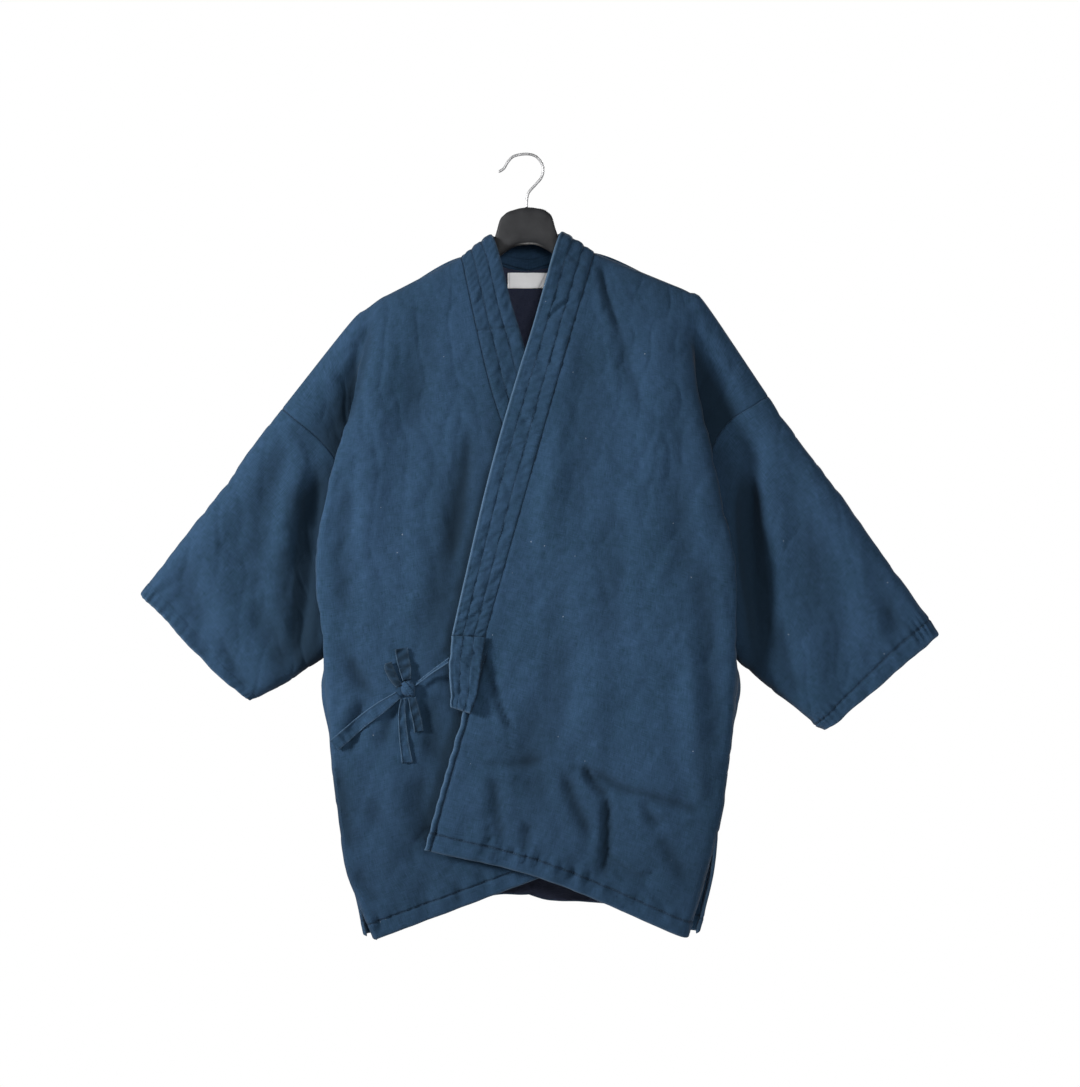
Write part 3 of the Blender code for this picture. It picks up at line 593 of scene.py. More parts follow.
# %% The cotton, its thread and the satin lining
def cotton(name, base, shade, pale, threads=1.0):
    """Matt weave: slubs stretched along both threads, slow fading, painted shade in creases and seams, and a
    painted highlight on edges.
    """
    made = Finish(name, Roughness=0.88, Specular_IOR_Level=0.12, Sheen_Weight=0.03, Sheen_Roughness=0.5)
    across = made.noise(made.place("UV", (90, 1500, 1)), threads, 2.0)
    down = made.noise(made.place("UV", (1500, 90, 1)), threads, 2.0)
    slubs = (across + down) * 0.5
    fading = made.noise(made.place("Object", (1, 1, 1)), 9.0, 4.0)
    speckle = made.noise(made.place("Object", (1, 1, 1)), 160.0, 2.0)
    tone = (fading - 0.5) * 0.6 + (slubs - 0.5) * 2.1 + (speckle - 0.5) * 0.6 + 0.5
    cloth_colour = made.mix(tone, shade, base)
    lint = made.node("TexVoronoi", {}, {"Vector": made.place("Object"), "Scale": 38.0}, "Distance")
    fleck = lint.sum_with("LESS_THAN", lint, 0.026)
    flecked = made.mix(fleck * 0.35, cloth_colour, (0.24, 0.28, 0.33, 1))
    # Painted shade: the fold mark darkens creases, the place behind the fold and the listed shade bands.
    crease_shaded = made.mix(made.mark("fold"), flecked, (shade[0] * 0.45, shade[1] * 0.45, shade[2] * 0.5, 1))
    # Painted highlight: the pale edge mark lightens the cloth along its edges.
    edge_highlighted = made.mix(made.mark("highlight_and_wear") * (0.25 + slubs * 0.7), crease_shaded, pale)
    # Painted shade: the seam mark darkens stitch grooves and the joins between parts.
    seam_shaded = made.mix(made.mark("seam") * 0.62, edge_highlighted, (shade[0] * 0.3, shade[1] * 0.3, shade[2] * 0.36, 1))
    rumple = made.noise(made.place("Object", (1, 1, 0.7)), 30.0, 5.0, 0.5)
    soft = made.bump(rumple, 0.0042, 0.5)
    weave = made.bump(slubs, 0.0006, 0.6, soft)
    made.feed(Base_Color=seam_shaded, Normal=weave, Roughness=0.93 - made.mark("highlight_and_wear") * 0.1)
    return made.material


def satin(name, base, shade):
    """Smooth dark lining: long soft ripples, painted darker in their low parts as shade, and a slight gloss.
    """
    made = Finish(name, Specular_IOR_Level=0.13)
    ripple = made.noise(made.place("Object", (1, 1, 0.35)), 34.0, 3.0)
    threads = made.noise(made.place("UV", (120, 1800, 1)), 1.0, 2.0)
    made.feed(
        Base_Color=made.mix(ripple * 0.7 + threads * 0.4, shade, base),
        Roughness=0.36 + ripple * 0.2,
        Normal=made.bump(ripple + threads * 0.2, 0.008, 0.8),
    )
    return made.material


def woven_label(name):
    """Bare white label: fine satin threads and a shadowed fold near its ends."""
    made = Finish(name, Roughness=0.55, Specular_IOR_Level=0.3)
    threads = made.noise(made.place("UV", (60, 2400, 1)), 1.0, 2.0)
    stain = made.noise(made.place("Object"), 120.0, 3.0)
    colour = made.mix(threads * 0.5 + stain * 0.4, (0.86, 0.86, 0.88, 1), (0.97, 0.97, 0.97, 1))
    made.feed(Base_Color=made.mix(made.mark("seam"), colour, (0.3, 0.3, 0.33, 1)))
    made.feed(Normal=made.bump(threads, 0.0004, 0.5))
    return made.material


def moulded(name):
    """Matt black moulding: faint mottling, a fine grain, and pale grey marks where the mesh marks them."""
    made = Finish(name, Specular_IOR_Level=0.18)
    mottle = made.noise(made.place("Object"), 55.0, 4.0)
    grain = made.noise(made.place("Object"), 900.0, 2.0)
    colour = made.mix(mottle, (0.001, 0.001, 0.002, 1), (0.026, 0.027, 0.029, 1))
    pale_marks = made.mark("highlight_and_wear") * made.noise(made.place("Object"), 300.0, 3.0)
    made.feed(
        Base_Color=made.mix(pale_marks, colour, (0.55, 0.54, 0.52, 1)),
        Roughness=0.5 + mottle * 0.16,
        Normal=made.bump(grain, 0.0002, 0.4, made.bump(mottle, 0.0012, 0.3)),
    )
    return made.material


def bright_wire(name):
    """Chromed wire: dull streaks drawn along it and small dark specks."""
    made = Finish(name, Metallic=1.0, Base_Color=(0.72, 0.72, 0.73, 1))
    streak = made.noise(made.place("Object", (500, 500, 60)), 1.0, 3.0)
    specks = made.noise(made.place("Object"), 110.0, 2.0)
    made.feed(
        Base_Color=made.mix(specks, (0.46, 0.46, 0.47, 1), (0.26, 0.26, 0.26, 1)),
        Roughness=0.5 + streak * 0.1,
    )
    return made.material


COTTON = (0.0176, 0.041, 0.084, 1)
COTTON_SHADE = (0.0046, 0.0184, 0.0325, 1)
# The pale colour is a painted highlight along the cloth's edges.
COTTON_PALE = (0.06, 0.104, 0.158, 1)
FINISHES = {
    "cotton": cotton("navy_cotton", COTTON, COTTON_SHADE, COTTON_PALE),
    "thread": cotton("navy_thread", (0.016, 0.036, 0.066, 1), (0.01, 0.022, 0.04, 1), COTTON_PALE, 4.0),
    "satin": satin("lining_satin", (0.036, 0.043, 0.078, 1), (0.008, 0.011, 0.023, 1)),
    "label": woven_label("bare_label"),
    "plastic": moulded("black_moulding"),
    "wire": bright_wire("bright_wire"),
}
print("finishes:", ", ".join(FINISHES))

# %% [markdown]
# ## Fronts and backs
# The four body panels share one recipe. The sections are read finely both ways, with extra rows
# and columns where a hem or an edge is stitched, because a stitch line is only a few millimetres
# wide. Then the cloth gets its thickness: full in the middle, pinched where it is sewn, and
# rounded over where it is free.

# %% Sections of the body, read finely
WALL = 4.0
TURN = ((0.0, 0.0), (0.4, 3.4), (3.6, 8.8), (12.0, 13.0))  # over the shoulder: way down, way out
TURN_DOWN = (0.0, 0.008, 0.02, 0.035)
STATIONS = np.array((0.0, 0.25, 0.5, 0.65, 0.75, 0.85, 1.0))
NECK_STATION = 0.25  # a back half meets the neck point here
CENTRE_BACK = 3.0
BACK_NECK_Z = -124.0
BACK_NECK_DEPTH = 27.0
BACK_HEM_Z = -817.0
ARMHOLE_END = 0.42
SIDE_GAP = 0.8
DENSE = 321
LENGTH = 655.0  # of a front, neck point to hem, which turns millimetres into the DOWN scale
HEM = 20.0
STRIP = 6.5  # the rolled strip down the over front's edge
# Columns, in millimetres from an edge, and rows, in millimetres up from the hem.
MARGIN = np.array((0, 0.4, 1.0, 1.9, 3.0, 4.4, 5.6, 6.2, 6.8, 7.6, 9.2, 12.0))
HEM_ROWS = np.array((0, 0.4, 1.0, 1.9, 3.2, 6, 10, 14, 17, 18.6, 19.4, 20, 20.6, 21.4, 23, 26))
HEM_SPAN = 28  # what those close rows take up
DOWN = np.concatenate([(0, 0.0015, 0.004, 0.008, 0.012, 0.018, 0.026),
                       np.linspace(0.035, 1 - HEM_SPAN / LENGTH, 205), 1 - HEM_ROWS[::-1] / LENGTH])
SLIT_BLEND = 0.004  # of DOWN, over which a side opens
CREST_STATION = 0.65
NEAR_CREST = np.array((-9, -6, -3.5, -1.5, 0, 1.5, 3.5, 6, 9))
BEFORE_CREST = 62
AFTER_CREST = 26


def column(table, name):
    """One named column of a table of sections."""
    return np.array([row[COLUMNS.index(name)] for row in table], float)


def section(row, layer_sign, edge, depth, lap):
    """Seven stations of a section: edge, belly, brow, crest, behind, trough and seam."""
    value = dict(zip(COLUMNS, row))
    crest = np.array((value["crest_x"], value["crest_z"]))
    trough = np.array((value["trough_x"], value["trough_z"]))
    end = np.array((value["seam_x"], value["seam_z"]))
    belly = edge + (crest - edge) * 0.45
    brow = crest + (edge - crest) / np.linalg.norm(edge - crest) * 13
    flat = np.array((edge, belly, brow, crest, (crest + trough) / 2, trough, end))
    layer = value["layer"]
    out = np.array((depth + lap, depth + 0.7 * lap, depth - 2, 0.62 * depth + 0.38 * layer,
                    0.25 * depth + 0.75 * layer, layer, value["seam"]))
    return np.stack([flat[:, 0], layer_sign * out, flat[:, 1]], axis=1)


def half_body(table, side, layer_sign, edges, depths, laps, widen=()):
    """Sections of one front or back half, and its turn over the shoulder."""
    levels = np.array([section(row, layer_sign, np.array(edge, float), depth, lap)
                       for row, edge, depth, lap in zip(table, edges, depths, laps)])
    if widen:
        grow = np.interp(column(table, "down"), *np.array(widen).T)
        levels[:, 3:, 0] += side * grow[:, None]
    first = levels[0] * (1, 0, 1)
    way = unit((levels[1] - first) * (1, 0, 1))
    turned = [first + way * drop + np.array((0, layer_sign * out, 0)) for drop, out in TURN]
    return levels, turned


def fine(table, levels, turned, layer_sign, bulge=0.0):
    """The half as DENSE points across and DOWN rows; bulge stands out behind the neck."""
    knots = np.concatenate([TURN_DOWN, column(table, "down")[1:]])
    by_down = through(knots, np.concatenate([turned, levels[1:]]), DOWN)
    dense = through(STATIONS, by_down.transpose(1, 0, 2), np.linspace(0, 1, DENSE)).transpose(1, 0, 2)
    across = np.clip(np.linspace(0, 1, DENSE) / NECK_STATION, 0, 1)
    dense[:, :, 1] += bulge * np.sin(np.pi * across) * np.exp(-((DOWN[:, None] / 0.1) ** 2))
    least = SIDE_GAP * np.clip(DOWN / TURN_DOWN[1], 0, 1)[:, None]
    dense[:, :, 1] = layer_sign * np.maximum(layer_sign * dense[:, :, 1], least)
    return dense


def gridded(dense):
    """Columns of a panel: close together beside both edges and on the crest of the fold."""
    rows = []
    for row in dense:
        run = lengths(row)
        whole = run[-1]
        crest = min(run[int((DENSE - 1) * CREST_STATION)], whole - MARGIN[-1] - 2)
        near = NEAR_CREST * np.clip((whole - crest - MARGIN[-1]) / 16, 0.05, 1)
        before = np.linspace(MARGIN[-1], crest + near[0], BEFORE_CREST)[1:-1]
        after = np.linspace(crest + near[-1], whole - MARGIN[-1], AFTER_CREST)[1:-1]
        wanted = np.concatenate([MARGIN, before, crest + near, after, whole - MARGIN[::-1]])
        rows.append(at_lengths(row, wanted))
    return np.array(rows)


def behind_fold(grid):
    """How deep the shadow lies behind the fold beside the arm, 0 to 1, from the slope into it."""
    depth = np.abs(grid[..., 1])
    front = np.maximum.accumulate(depth, axis=1)
    return smooth(4, 20, front - depth) * (smooth(0.03, 0.1, DOWN) * smooth(0.5, 0.4, DOWN))[:, None]


def front(table, side, lap, rise):
    """A front hangs from the shoulder; its hem rises by rise between its corners."""
    laps = lap * np.clip(column(table, "down") / 0.24, 0, 1)
    edges = [(row[1], row[2]) for row in table]
    levels, turned = half_body(table, side, -1, edges, column(table, "front"), laps)
    levels[:, 1, 2] += rise * column(table, "down") ** 4
    return fine(table, levels, turned, -1)


# The back's hem is flatter than the straight run of its sections: (x, how far it rises).
BACK_HEM_RISE = ((-170, 0), (-110, 8), (-60, 11), (-26, 8), (0, 1),
                 (18, -1), (62, 6), (92, 10), (120, 8), (175, 0))


def back(table, side, widen):
    """A back half runs from the centre seam; its top follows the neck, then the shoulder."""
    centre_z = BACK_NECK_Z + (BACK_HEM_Z - BACK_NECK_Z) * column(table, "down")
    edges = [(CENTRE_BACK, z) for z in centre_z]
    levels, turned = half_body(table, side, 1, edges, column(table, "back"), np.zeros(len(table)), widen)
    for k, (drop, out) in enumerate(TURN):
        turned[k][0] = (CENTRE_BACK, BACK_NECK_DEPTH + 0.08 * drop, BACK_NECK_Z - 1.2 * drop)
        turned[k][1] = (table[0][1], out, table[0][2] - drop)
    dense = fine(table, levels, turned, 1, bulge=7.0)
    places, rises = np.array(BACK_HEM_RISE, float).T
    rise = through(places, rises, np.clip(dense[..., 0], -170, 175).ravel()).reshape(dense.shape[:2])
    dense[..., 2] += rise * smooth(0.8, 1.0, DOWN)[:, None]
    return dense


over_dense = front(OVER_SIDE, 1, 5.0, OVER_HEM_RISE)
under_dense = front(UNDER_SIDE, -1, -5.0, 0.0)
over_back_dense = back(OVER_SIDE, 1, BACK_WIDEN["over"])
under_back_dense = back(UNDER_SIDE, -1, BACK_WIDEN["under"])
over_front, under_front, over_back, under_back = (
    gridded(dense) for dense in (over_dense, under_dense, over_back_dense, under_back_dense))
print("panel grid:", over_front.shape)


# %% Thickness, folds and seams of a panel
def outward(grid, layer_sign):
    """Normals that point out of the jacket: towards -Y on a front and +Y on a back."""
    way = normals(grid)
    return way * np.sign(way[..., 1].mean() * layer_sign)


def panel(name, grid, table, layer_sign, seed, slit, free_edge=None, neck=False, strip=0.0, shades=(),
          relief=1.0):
    """One body panel: pinched at its seams, rounded at its free edges, with its folds.

    slit is the DOWN value below which the side is open, free_edge the one below which the
    first column is, and strip the width of the rolled strip along that free edge.
    """
    way = outward(grid, layer_sign)
    top = unit(np.gradient(grid[0], axis=0))
    up = np.stack([-top[:, 2], np.zeros(len(top)), top[:, 0]], axis=1)
    up *= np.sign(up[:, 2:])
    weight = smooth(0.2, 0.27, np.linspace(0, 1, len(top)))[:, None] if neck else 1.0
    way[0] = unit(way[0] * (1 - weight) + up * weight)
    steps = np.linalg.norm(np.diff(grid, axis=1), axis=2)
    from_edge = np.concatenate([np.zeros((len(grid), 1)), np.cumsum(steps, axis=1)], axis=1)
    from_seam = from_edge[:, -1:] - from_edge
    from_hem = (1 - DOWN[:, None]) * LENGTH
    open_side = smooth(slit - SLIT_BLEND, slit + SLIT_BLEND, DOWN)[:, None]
    open_edge = 0.0
    if free_edge is not None:
        open_edge = smooth(free_edge - SLIT_BLEND, free_edge + SLIT_BLEND, DOWN)[:, None]
    x, z = grid[..., 0], grid[..., 2]
    crease = creases(table, x, z)
    lower = 0.5 + 0.9 * smooth(0.7, 0.9, DOWN)[:, None]
    fine_lines = crumple(x, z * 0.8, seed + 5) * lower
    sink = 1.5 * crease + 0.9 * waves(x, z * 0.6, seed, 200, 60) + 0.3 * waves(x, z, seed + 1, 44, 12)
    sink = relief * (sink + 2.0 * fine_lines + 1.3 * drawn(x, z, seed + 8))
    held = smooth(0, 24, from_edge) * smooth(0, 24, from_seam) * smooth(0, 30, DOWN[:, None] * LENGTH)
    sink *= held + (1 - held) * 0.35 * open_edge
    band = smooth(0, 3, from_hem) * smooth(HEM, HEM - 4, from_hem)
    past_line = from_hem - HEM
    ripple = puckers(from_edge, past_line, seed + 2) + 0.7 * puckers(from_edge, past_line, seed + 3, 29, 16)
    stitched = np.exp(-((past_line / 1.1) ** 2))
    inland = smooth(0.5, 9, from_seam) * (1 if free_edge else smooth(0.5, 9, from_edge))
    ripple = ripple * inland
    sink += 1.2 * stitched * inland + 2.6 * ripple - 0.5 * band * inland
    line = open_edge * np.exp(-(((from_edge - strip) / 1.3) ** 2)) if strip else 0.0
    sink += 1.7 * line
    if strip:
        beside = from_hem * open_edge
        sink += 0.55 * open_edge * puckers(beside, from_edge - strip, seed + 4, 17, 7)
    sewn_edge, sewn_side = (0.7 + 0.3 * rounded(d, 5.0) for d in (from_edge, from_seam))
    edge = sewn_edge + (rounded(from_edge, 3.0) - sewn_edge) * open_edge
    side = sewn_side + (rounded(from_seam, 3.0) - sewn_side) * open_side
    full = np.maximum(edge * side * rounded(from_hem, 3.2), 0.08)[..., None] * WALL / 2
    sink = sink[..., None]
    shift = np.zeros_like(grid)
    shift[..., 2] = 0.9 * ripple * smooth(HEM + 6, 0, from_hem)
    if strip:
        shift[..., 0] = 1.1 * open_edge * puckers(from_hem, from_edge, seed + 6, 19, 8)
    face = grid + shift + way * (full - sink)
    inside = grid + shift - way * (full + 0.8 * sink)
    # Seam mark: painted shade in the stitch grooves of the hem and the strip, and along the sewn edge and the
    # side seam.
    seam = (0.9 + 0.5 * ripple) * stitched + 1.2 * line
    seam = seam + 0.6 * np.exp(-((from_edge / 1.0) ** 2)) * (1 - open_edge)
    seam = seam + 0.45 * np.exp(-((from_seam / 0.8) ** 2)) * (1 - open_side)
    # Painted highlight along the hem, the free edge and the open side.
    highlight_and_wear = np.exp(-((from_hem / 1.6) ** 2)) + open_edge * np.exp(-((from_edge / 1.6) ** 2))
    highlight_and_wear = highlight_and_wear + open_side * np.exp(-((from_seam / 1.4) ** 2))
    # Painted shade for the fold mark: creases, fine crumples, pucker troughs, the place behind the fold
    # beside the arm and the listed shade bands.
    dark = painted_crease_shade(crease) + 0.12 * fine_lines + 0.3 * np.clip(ripple, 0, 1)
    dark = dark + 0.9 * behind_fold(grid) + shadow(shades, x, z)
    made = shell(name, face, inside, "cotton", seam=np.clip(seam, 0, 1),
                 highlight_and_wear=np.clip(0.6 * highlight_and_wear, 0, 1), fold=np.clip(dark, 0, 0.9))
    print(name, "triangles:", 4 * (face.shape[0] - 1) * (face.shape[1] - 1))
    return made, face, way


front_left, over_face, over_way = panel(
    "front_left_cloth", over_front, OVER_CREASES, -1, 11, 0.76, free_edge=0.665, strip=STRIP,
    shades=OVER_SHADES)
front_right, under_face, under_way = panel(
    "front_right_cloth", under_front, UNDER_CREASES, -1, 21, 0.88, free_edge=0.72, shades=UNDER_SHADES)
back_left, over_back_face, over_back_way = panel(
    "back_left_cloth", over_back, BACK_CREASES, 1, 31, 0.76, neck=True, relief=0.45)
back_right, under_back_face, under_back_way = panel(
    "back_right_cloth", under_back, BACK_CREASES, 1, 41, 0.88, neck=True, relief=0.45)

# %% [markdown]
# ## Sleeves
# A sleeve is a flat tube. Each of its rings runs down the front layer and up the back one, from
# the armhole, which is the edge the panels already have, to the straight line of the cuff. So
# the ring nearest the body is the panels' own edge, and the seam closes by itself.

# %% Two flat tubes
ALONG = 108
HALF_RING = 78
CUFF_DEPTH = 9.0
CUFF_HEM = 15.0
SLEEVE_LENGTH = 240.0  # armhole to cuff, which turns millimetres into places along it
CUFF_ROWS = np.array((0, 0.4, 1.0, 1.9, 3.2, 6, 10, 13, 14.3, 15, 15.7, 17, 20))  # up from the cuff
CUFF_SPAN = 24  # what those close rows take up
SLEEVE_SWELL = 7.0  # how far each layer stands out halfway along
RING_STEP = 3.1  # between the points round a sleeve, on average


def sleeve(name, front_edge, back_edge, size, table, seed, stitched, shades):
    """Rings blended in a line from the armhole to the cuff: (1 - t) * start + t * end."""
    reach = DOWN <= ARMHOLE_END + 1e-6
    even = np.linspace(0, 1, HALF_RING)
    steps = 0.35 * even + 0.65 * (0.5 - 0.5 * np.cos(np.pi * even))
    fold = np.sqrt(np.maximum(1 - np.abs(2 * steps - 1) ** 12, 0))
    low = steps > 0.85
    near_cuff = CUFF_ROWS / SLEEVE_LENGTH
    even_rows = np.linspace(0, 1 - CUFF_SPAN / SLEEVE_LENGTH, ALONG)
    t = np.concatenate([even_rows, 1 - near_cuff[::-1]])[:, None, None]
    tip, corner = np.array(size["tip"]), np.array(size["corner"])
    halves = []
    for edge, sign in ((front_edge, -1), (back_edge, 1)):
        line = edge[reach]
        start = at_lengths(line, steps * lengths(line)[-1])
        start[low, 1] = sign * np.abs(start[low, 1]) * fold[low]
        start[0, 1] = 0
        cuff = tip + (corner - tip) * steps[:, None]
        cuff[:, 1] -= size["cuff_bow"] * np.sin(np.pi * steps**1.6)
        end = np.stack([cuff[:, 0], sign * CUFF_DEPTH * fold, cuff[:, 1]], axis=1)
        tube = start + (end - start) * t
        swell = np.sin(np.pi * t[..., 0])
        tube[..., 1] += sign * SLEEVE_SWELL * swell * fold
        tube[..., 2] -= size["sag"] * swell * steps**2
        halves.append(tube)
    ring = np.concatenate([halves[0], halves[1][:, -2:0:-1]], axis=1)
    front_way = outward(ring[:, :HALF_RING], -1)
    way = normals(ring, closed=True)
    way = way * np.sign((way[:, 10:40] * front_way[:, 10:40]).sum())
    from_cuff = (1 - t[..., 0]) * SLEEVE_LENGTH
    from_arm = t[..., 0] * SLEEVE_LENGTH
    x, z = ring[..., 0], ring[..., 2]
    crease = creases(table, x, z)
    fine_lines = crumple(x, z * 0.8, seed + 5)
    sink = 1.4 * crease + 0.8 * waves(x, z * 0.7, seed, 180, 60) + 0.2 * waves(x, z, seed + 1, 44, 12)
    sink = (sink + 0.7 * fine_lines + 1.1 * drawn(x, z, seed + 8)) * smooth(0, 24, from_arm)
    around = np.arange(ring.shape[1]) * RING_STEP
    line = np.exp(-(((from_cuff - CUFF_HEM) / 1.0) ** 2)) * stitched
    ripple = puckers(around, from_cuff - CUFF_HEM * stitched, seed + 2)
    ripple = ripple + 0.7 * puckers(around, from_cuff - CUFF_HEM, seed + 3, 31, 15)
    sink = sink + 1.0 * line + (0.5 + 1.6 * stitched) * ripple
    shift = np.array(size["tip"]) - np.array(size["corner"])
    shift = np.array((shift[1], 0, -shift[0])) / np.hypot(*shift) * 0.5
    uneven = waves(around, 0.0, seed + 7, 90, 20) + 0.3 * ripple * stitched
    ring = ring + shift * (uneven * smooth(26, 0, from_cuff))[..., None]
    full = (0.7 + 0.3 * rounded(from_arm, 5.0)) * np.maximum(rounded(from_cuff, 3.2), 0.08)
    full = full[..., None] * WALL / 2
    full = np.broadcast_to(full, ring.shape[:2] + (1,))
    sink = np.broadcast_to(sink, ring.shape[:2])[..., None]
    face = ring + way * (full - sink)
    inside = ring - way * (full + 0.8 * sink)
    # Seam mark: painted shade in the cuff's stitch groove and at the armhole seam.
    seam = np.clip((0.8 + 0.3 * ripple) * line + 0.45 * np.exp(-((from_arm / 0.8) ** 2)), 0, 1)
    # Painted highlight along the cuff's edge.
    highlight_and_wear = 0.6 * np.exp(-((from_cuff / 1.8) ** 2))
    # The fold mark is painted shade: in the creases and in the listed bands where the body hides the sleeve.
    made = shell(name, face, inside, "cotton", closed=True, seam=seam, highlight_and_wear=highlight_and_wear,
                 fold=np.clip(0.7 * painted_crease_shade(crease) + shadow(shades, x, z), 0, 0.85))
    print(name, "triangles:", 4 * (face.shape[0] - 1) * face.shape[1])
    return made, face, way


sleeve_left, left_sleeve_face, left_sleeve_way = sleeve(
    "sleeve_left_cloth", over_front[:, -1], over_back[:, -1], SLEEVES["over"], LEFT_SLEEVE_CREASES, 51, 1.0,
    LEFT_SLEEVE_SHADES)
sleeve_right = sleeve(
    "sleeve_right_cloth", under_front[:, -1], under_back[:, -1], SLEEVES["under"], RIGHT_SLEEVE_CREASES,
    61, 0.25, RIGHT_SLEEVE_SHADES)[0]

# %% [markdown]
# ## The collar
# One band runs down a front, round the neck and down the other front, with a cord of padding in
# each of its three channels. Its whole length is worked out as one grid, so that it turns
# smoothly over the shoulders, and then cut into its three stretches. The height over a channel
# is a power of a sine, round on top and sharp at the stitch line, and small diagonal puckers
# cross it.

# %% The band as one grid
COLLAR_WALL = 3.6
CHANNELS = 3
PUFF = 1.15
DOWN_COLLAR = 220
ROUND_NECK = 84
UNDER_CROSS_SEAM = -189.0
BAND_WIDTH = 44.0
TAIL_WIDTH = 37.0
TAIL_LENGTH = 76.0
TAIL_ROWS = 56
MIDDLE_COLUMN = 18


def collar_half(table, edge):
    """Seam and inner edge down a front, both read at the same heights."""
    levels = np.array([row[0] for row in table])
    heights = levels[0] + (levels[-1] - levels[0]) * np.linspace(0, 1, DOWN_COLLAR) ** 1.15
    seam = np.stack([np.interp(-heights, -edge[:, 2], edge[:, k]) for k in range(3)], axis=1)
    rows = np.array([(x, -depth, z) for _, x, z, depth in table])
    rows[0, 1] = 0
    return seam, through(-levels, rows, -heights)


over_seam, over_inner = collar_half(OVER_COLLAR, over_front[:, 0])
under_seam, under_inner = collar_half(UNDER_COLLAR, under_front[:, 0])
neck_count = int((DENSE - 1) * NECK_STATION)
neck_line = np.concatenate([over_back_dense[0, neck_count::-1], under_back_dense[0, 1:neck_count + 1]])
neck_seam = at_lengths(neck_line, np.linspace(0, lengths(neck_line)[-1], ROUND_NECK))
half_turn = np.linspace(0, np.pi, ROUND_NECK)
neck_middle, neck_half = (over_inner[0] + under_inner[0]) / 2, (over_inner[0] - under_inner[0]) / 2
neck_inner = neck_middle + neck_half * np.cos(half_turn)[:, None]
neck_inner[:, 1] = COLLAR_BACK_DEPTH * np.sin(half_turn) ** 0.8
neck_inner[:, 2] -= COLLAR_BACK_DIP * np.sin(half_turn)
band_seam = np.concatenate([over_seam[::-1], neck_seam[1:-1], under_seam])
band_inner = np.concatenate([over_inner[::-1], neck_inner[1:-1], under_inner])
for _ in range(6):
    band_inner[1:-1] = (band_inner[:-2] + 2 * band_inner[1:-1] + band_inner[2:]) / 4

within = 0.5 - 0.5 * np.cos(np.linspace(0, np.pi, 13))
ACROSS_BAND = np.unique(np.round(np.concatenate([(k + within) / CHANNELS for k in range(CHANNELS)]), 6))


def quilted(middle, way, along, width, seed, puff, roll):
    """Outer and inner face, seam mark (painted shade) and pale edge (painted highlight) of a quilted band;
    roll is its rolled inner edge.
    """
    across = ACROSS_BAND * width
    channel = np.abs(np.sin(CHANNELS * np.pi * ACROSS_BAND)) ** 0.55
    nearest = np.abs((ACROSS_BAND * CHANNELS + 0.5) % 1 - 0.5) / CHANNELS * width
    inner_lines = (ACROSS_BAND > 0.1) & (ACROSS_BAND < 0.9)
    line = np.exp(-((nearest / 1.0) ** 2)) * inner_lines
    slanted = along[:, None] + 0.55 * across[None]
    pucker = 0.6 * waves(slanted, across[None] + 90 * np.floor(ACROSS_BAND * CHANNELS)[None], seed, 34, 7)
    pucker = pucker + 0.6 * puckers(slanted, 0.0, seed + 1, 10, 1)
    rise = puff * channel[None] + pucker * channel[None] ** 0.7
    from_inner = (1 - ACROSS_BAND) * width
    rise = rise - roll * 0.9 * np.exp(-(((from_inner - 4.2) / 0.9) ** 2))[None]
    ends = 0.4 + 0.6 * rounded(across, 4.0)
    ends = ends * (0.25 + 0.75 * rounded(from_inner, 2.6))
    face = middle + way * (COLLAR_WALL / 2 * ends[None] + rise * smooth(0, 1.5, from_inner)[None])[..., None]
    inside = middle - way * (COLLAR_WALL / 2 * ends[None])[..., None]
    # Seam mark: painted shade in the channel stitch grooves, at the outer seam and in the roll's groove.
    seam = np.clip(0.6 * line + 0.8 * np.exp(-((across / 1.0) ** 2)) - 0.3 * pucker * line
                   + 0.3 * roll * np.exp(-(((from_inner - 4.2) / 0.8) ** 2)), 0, 1)
    # Painted highlight along the inner edge, stronger where it is rolled.
    highlight_and_wear = np.exp(-((from_inner / 1.6) ** 2)) * (0.35 + 0.6 * roll)
    return face, inside, seam, highlight_and_wear


COLLAR_CREASES = (
    (50, -161, 22, -185, 1, 2.4, 2.2),
    (34, -236, 20, -222, 1, 2.6, 1.3),
    (4, -300, -12, -282, 1, 2.6, 1.4),
    (-18, -372, -30, -350, 1, 2.6, 1.3),
    (-40, -440, -54, -424, 1, 2.6, 1.2),
    (-52, -508, -66, -490, -1, 2.6, 1.4),
    (-42, -150, -26, -164, 1, 2.6, 1.2),
    (-30, -232, -14, -246, 1, 2.6, 1.2),
)
middle = band_seam[:, None] + (band_inner - band_seam)[:, None] * ACROSS_BAND[None, :, None]
band_way = normals(middle)
band_way *= np.sign(-band_way[:DOWN_COLLAR, :, 1].mean())
along_band = lengths(middle[:, MIDDLE_COLUMN])
band_face, band_inside, band_mark, band_highlight = quilted(
    middle, band_way, along_band, BAND_WIDTH, 71, PUFF, 0.0)
rolled = quilted(middle, band_way, along_band, BAND_WIDTH, 71, PUFF, 1.0)
for faces in (band_face, rolled[0]):
    faces -= band_way * creases(COLLAR_CREASES, middle[..., 0], middle[..., 2])[..., None]
over_rows = slice(0, DOWN_COLLAR)
neck_rows = slice(DOWN_COLLAR - 1, DOWN_COLLAR + ROUND_NECK - 1)
under_rows = slice(DOWN_COLLAR + ROUND_NECK - 2, None)
cross = np.exp(-(((middle[..., 2] - 0.1 * middle[..., 0] - UNDER_CROSS_SEAM) / 1.1) ** 2))
cross[:DOWN_COLLAR + ROUND_NECK] = 0
band_face -= band_way * (1.5 * cross)[..., None]
# The cross seam is a groove with painted shade in it.
flat_band = (band_face, band_inside, np.clip(band_mark + 0.6 * cross, 0, 1), band_highlight)
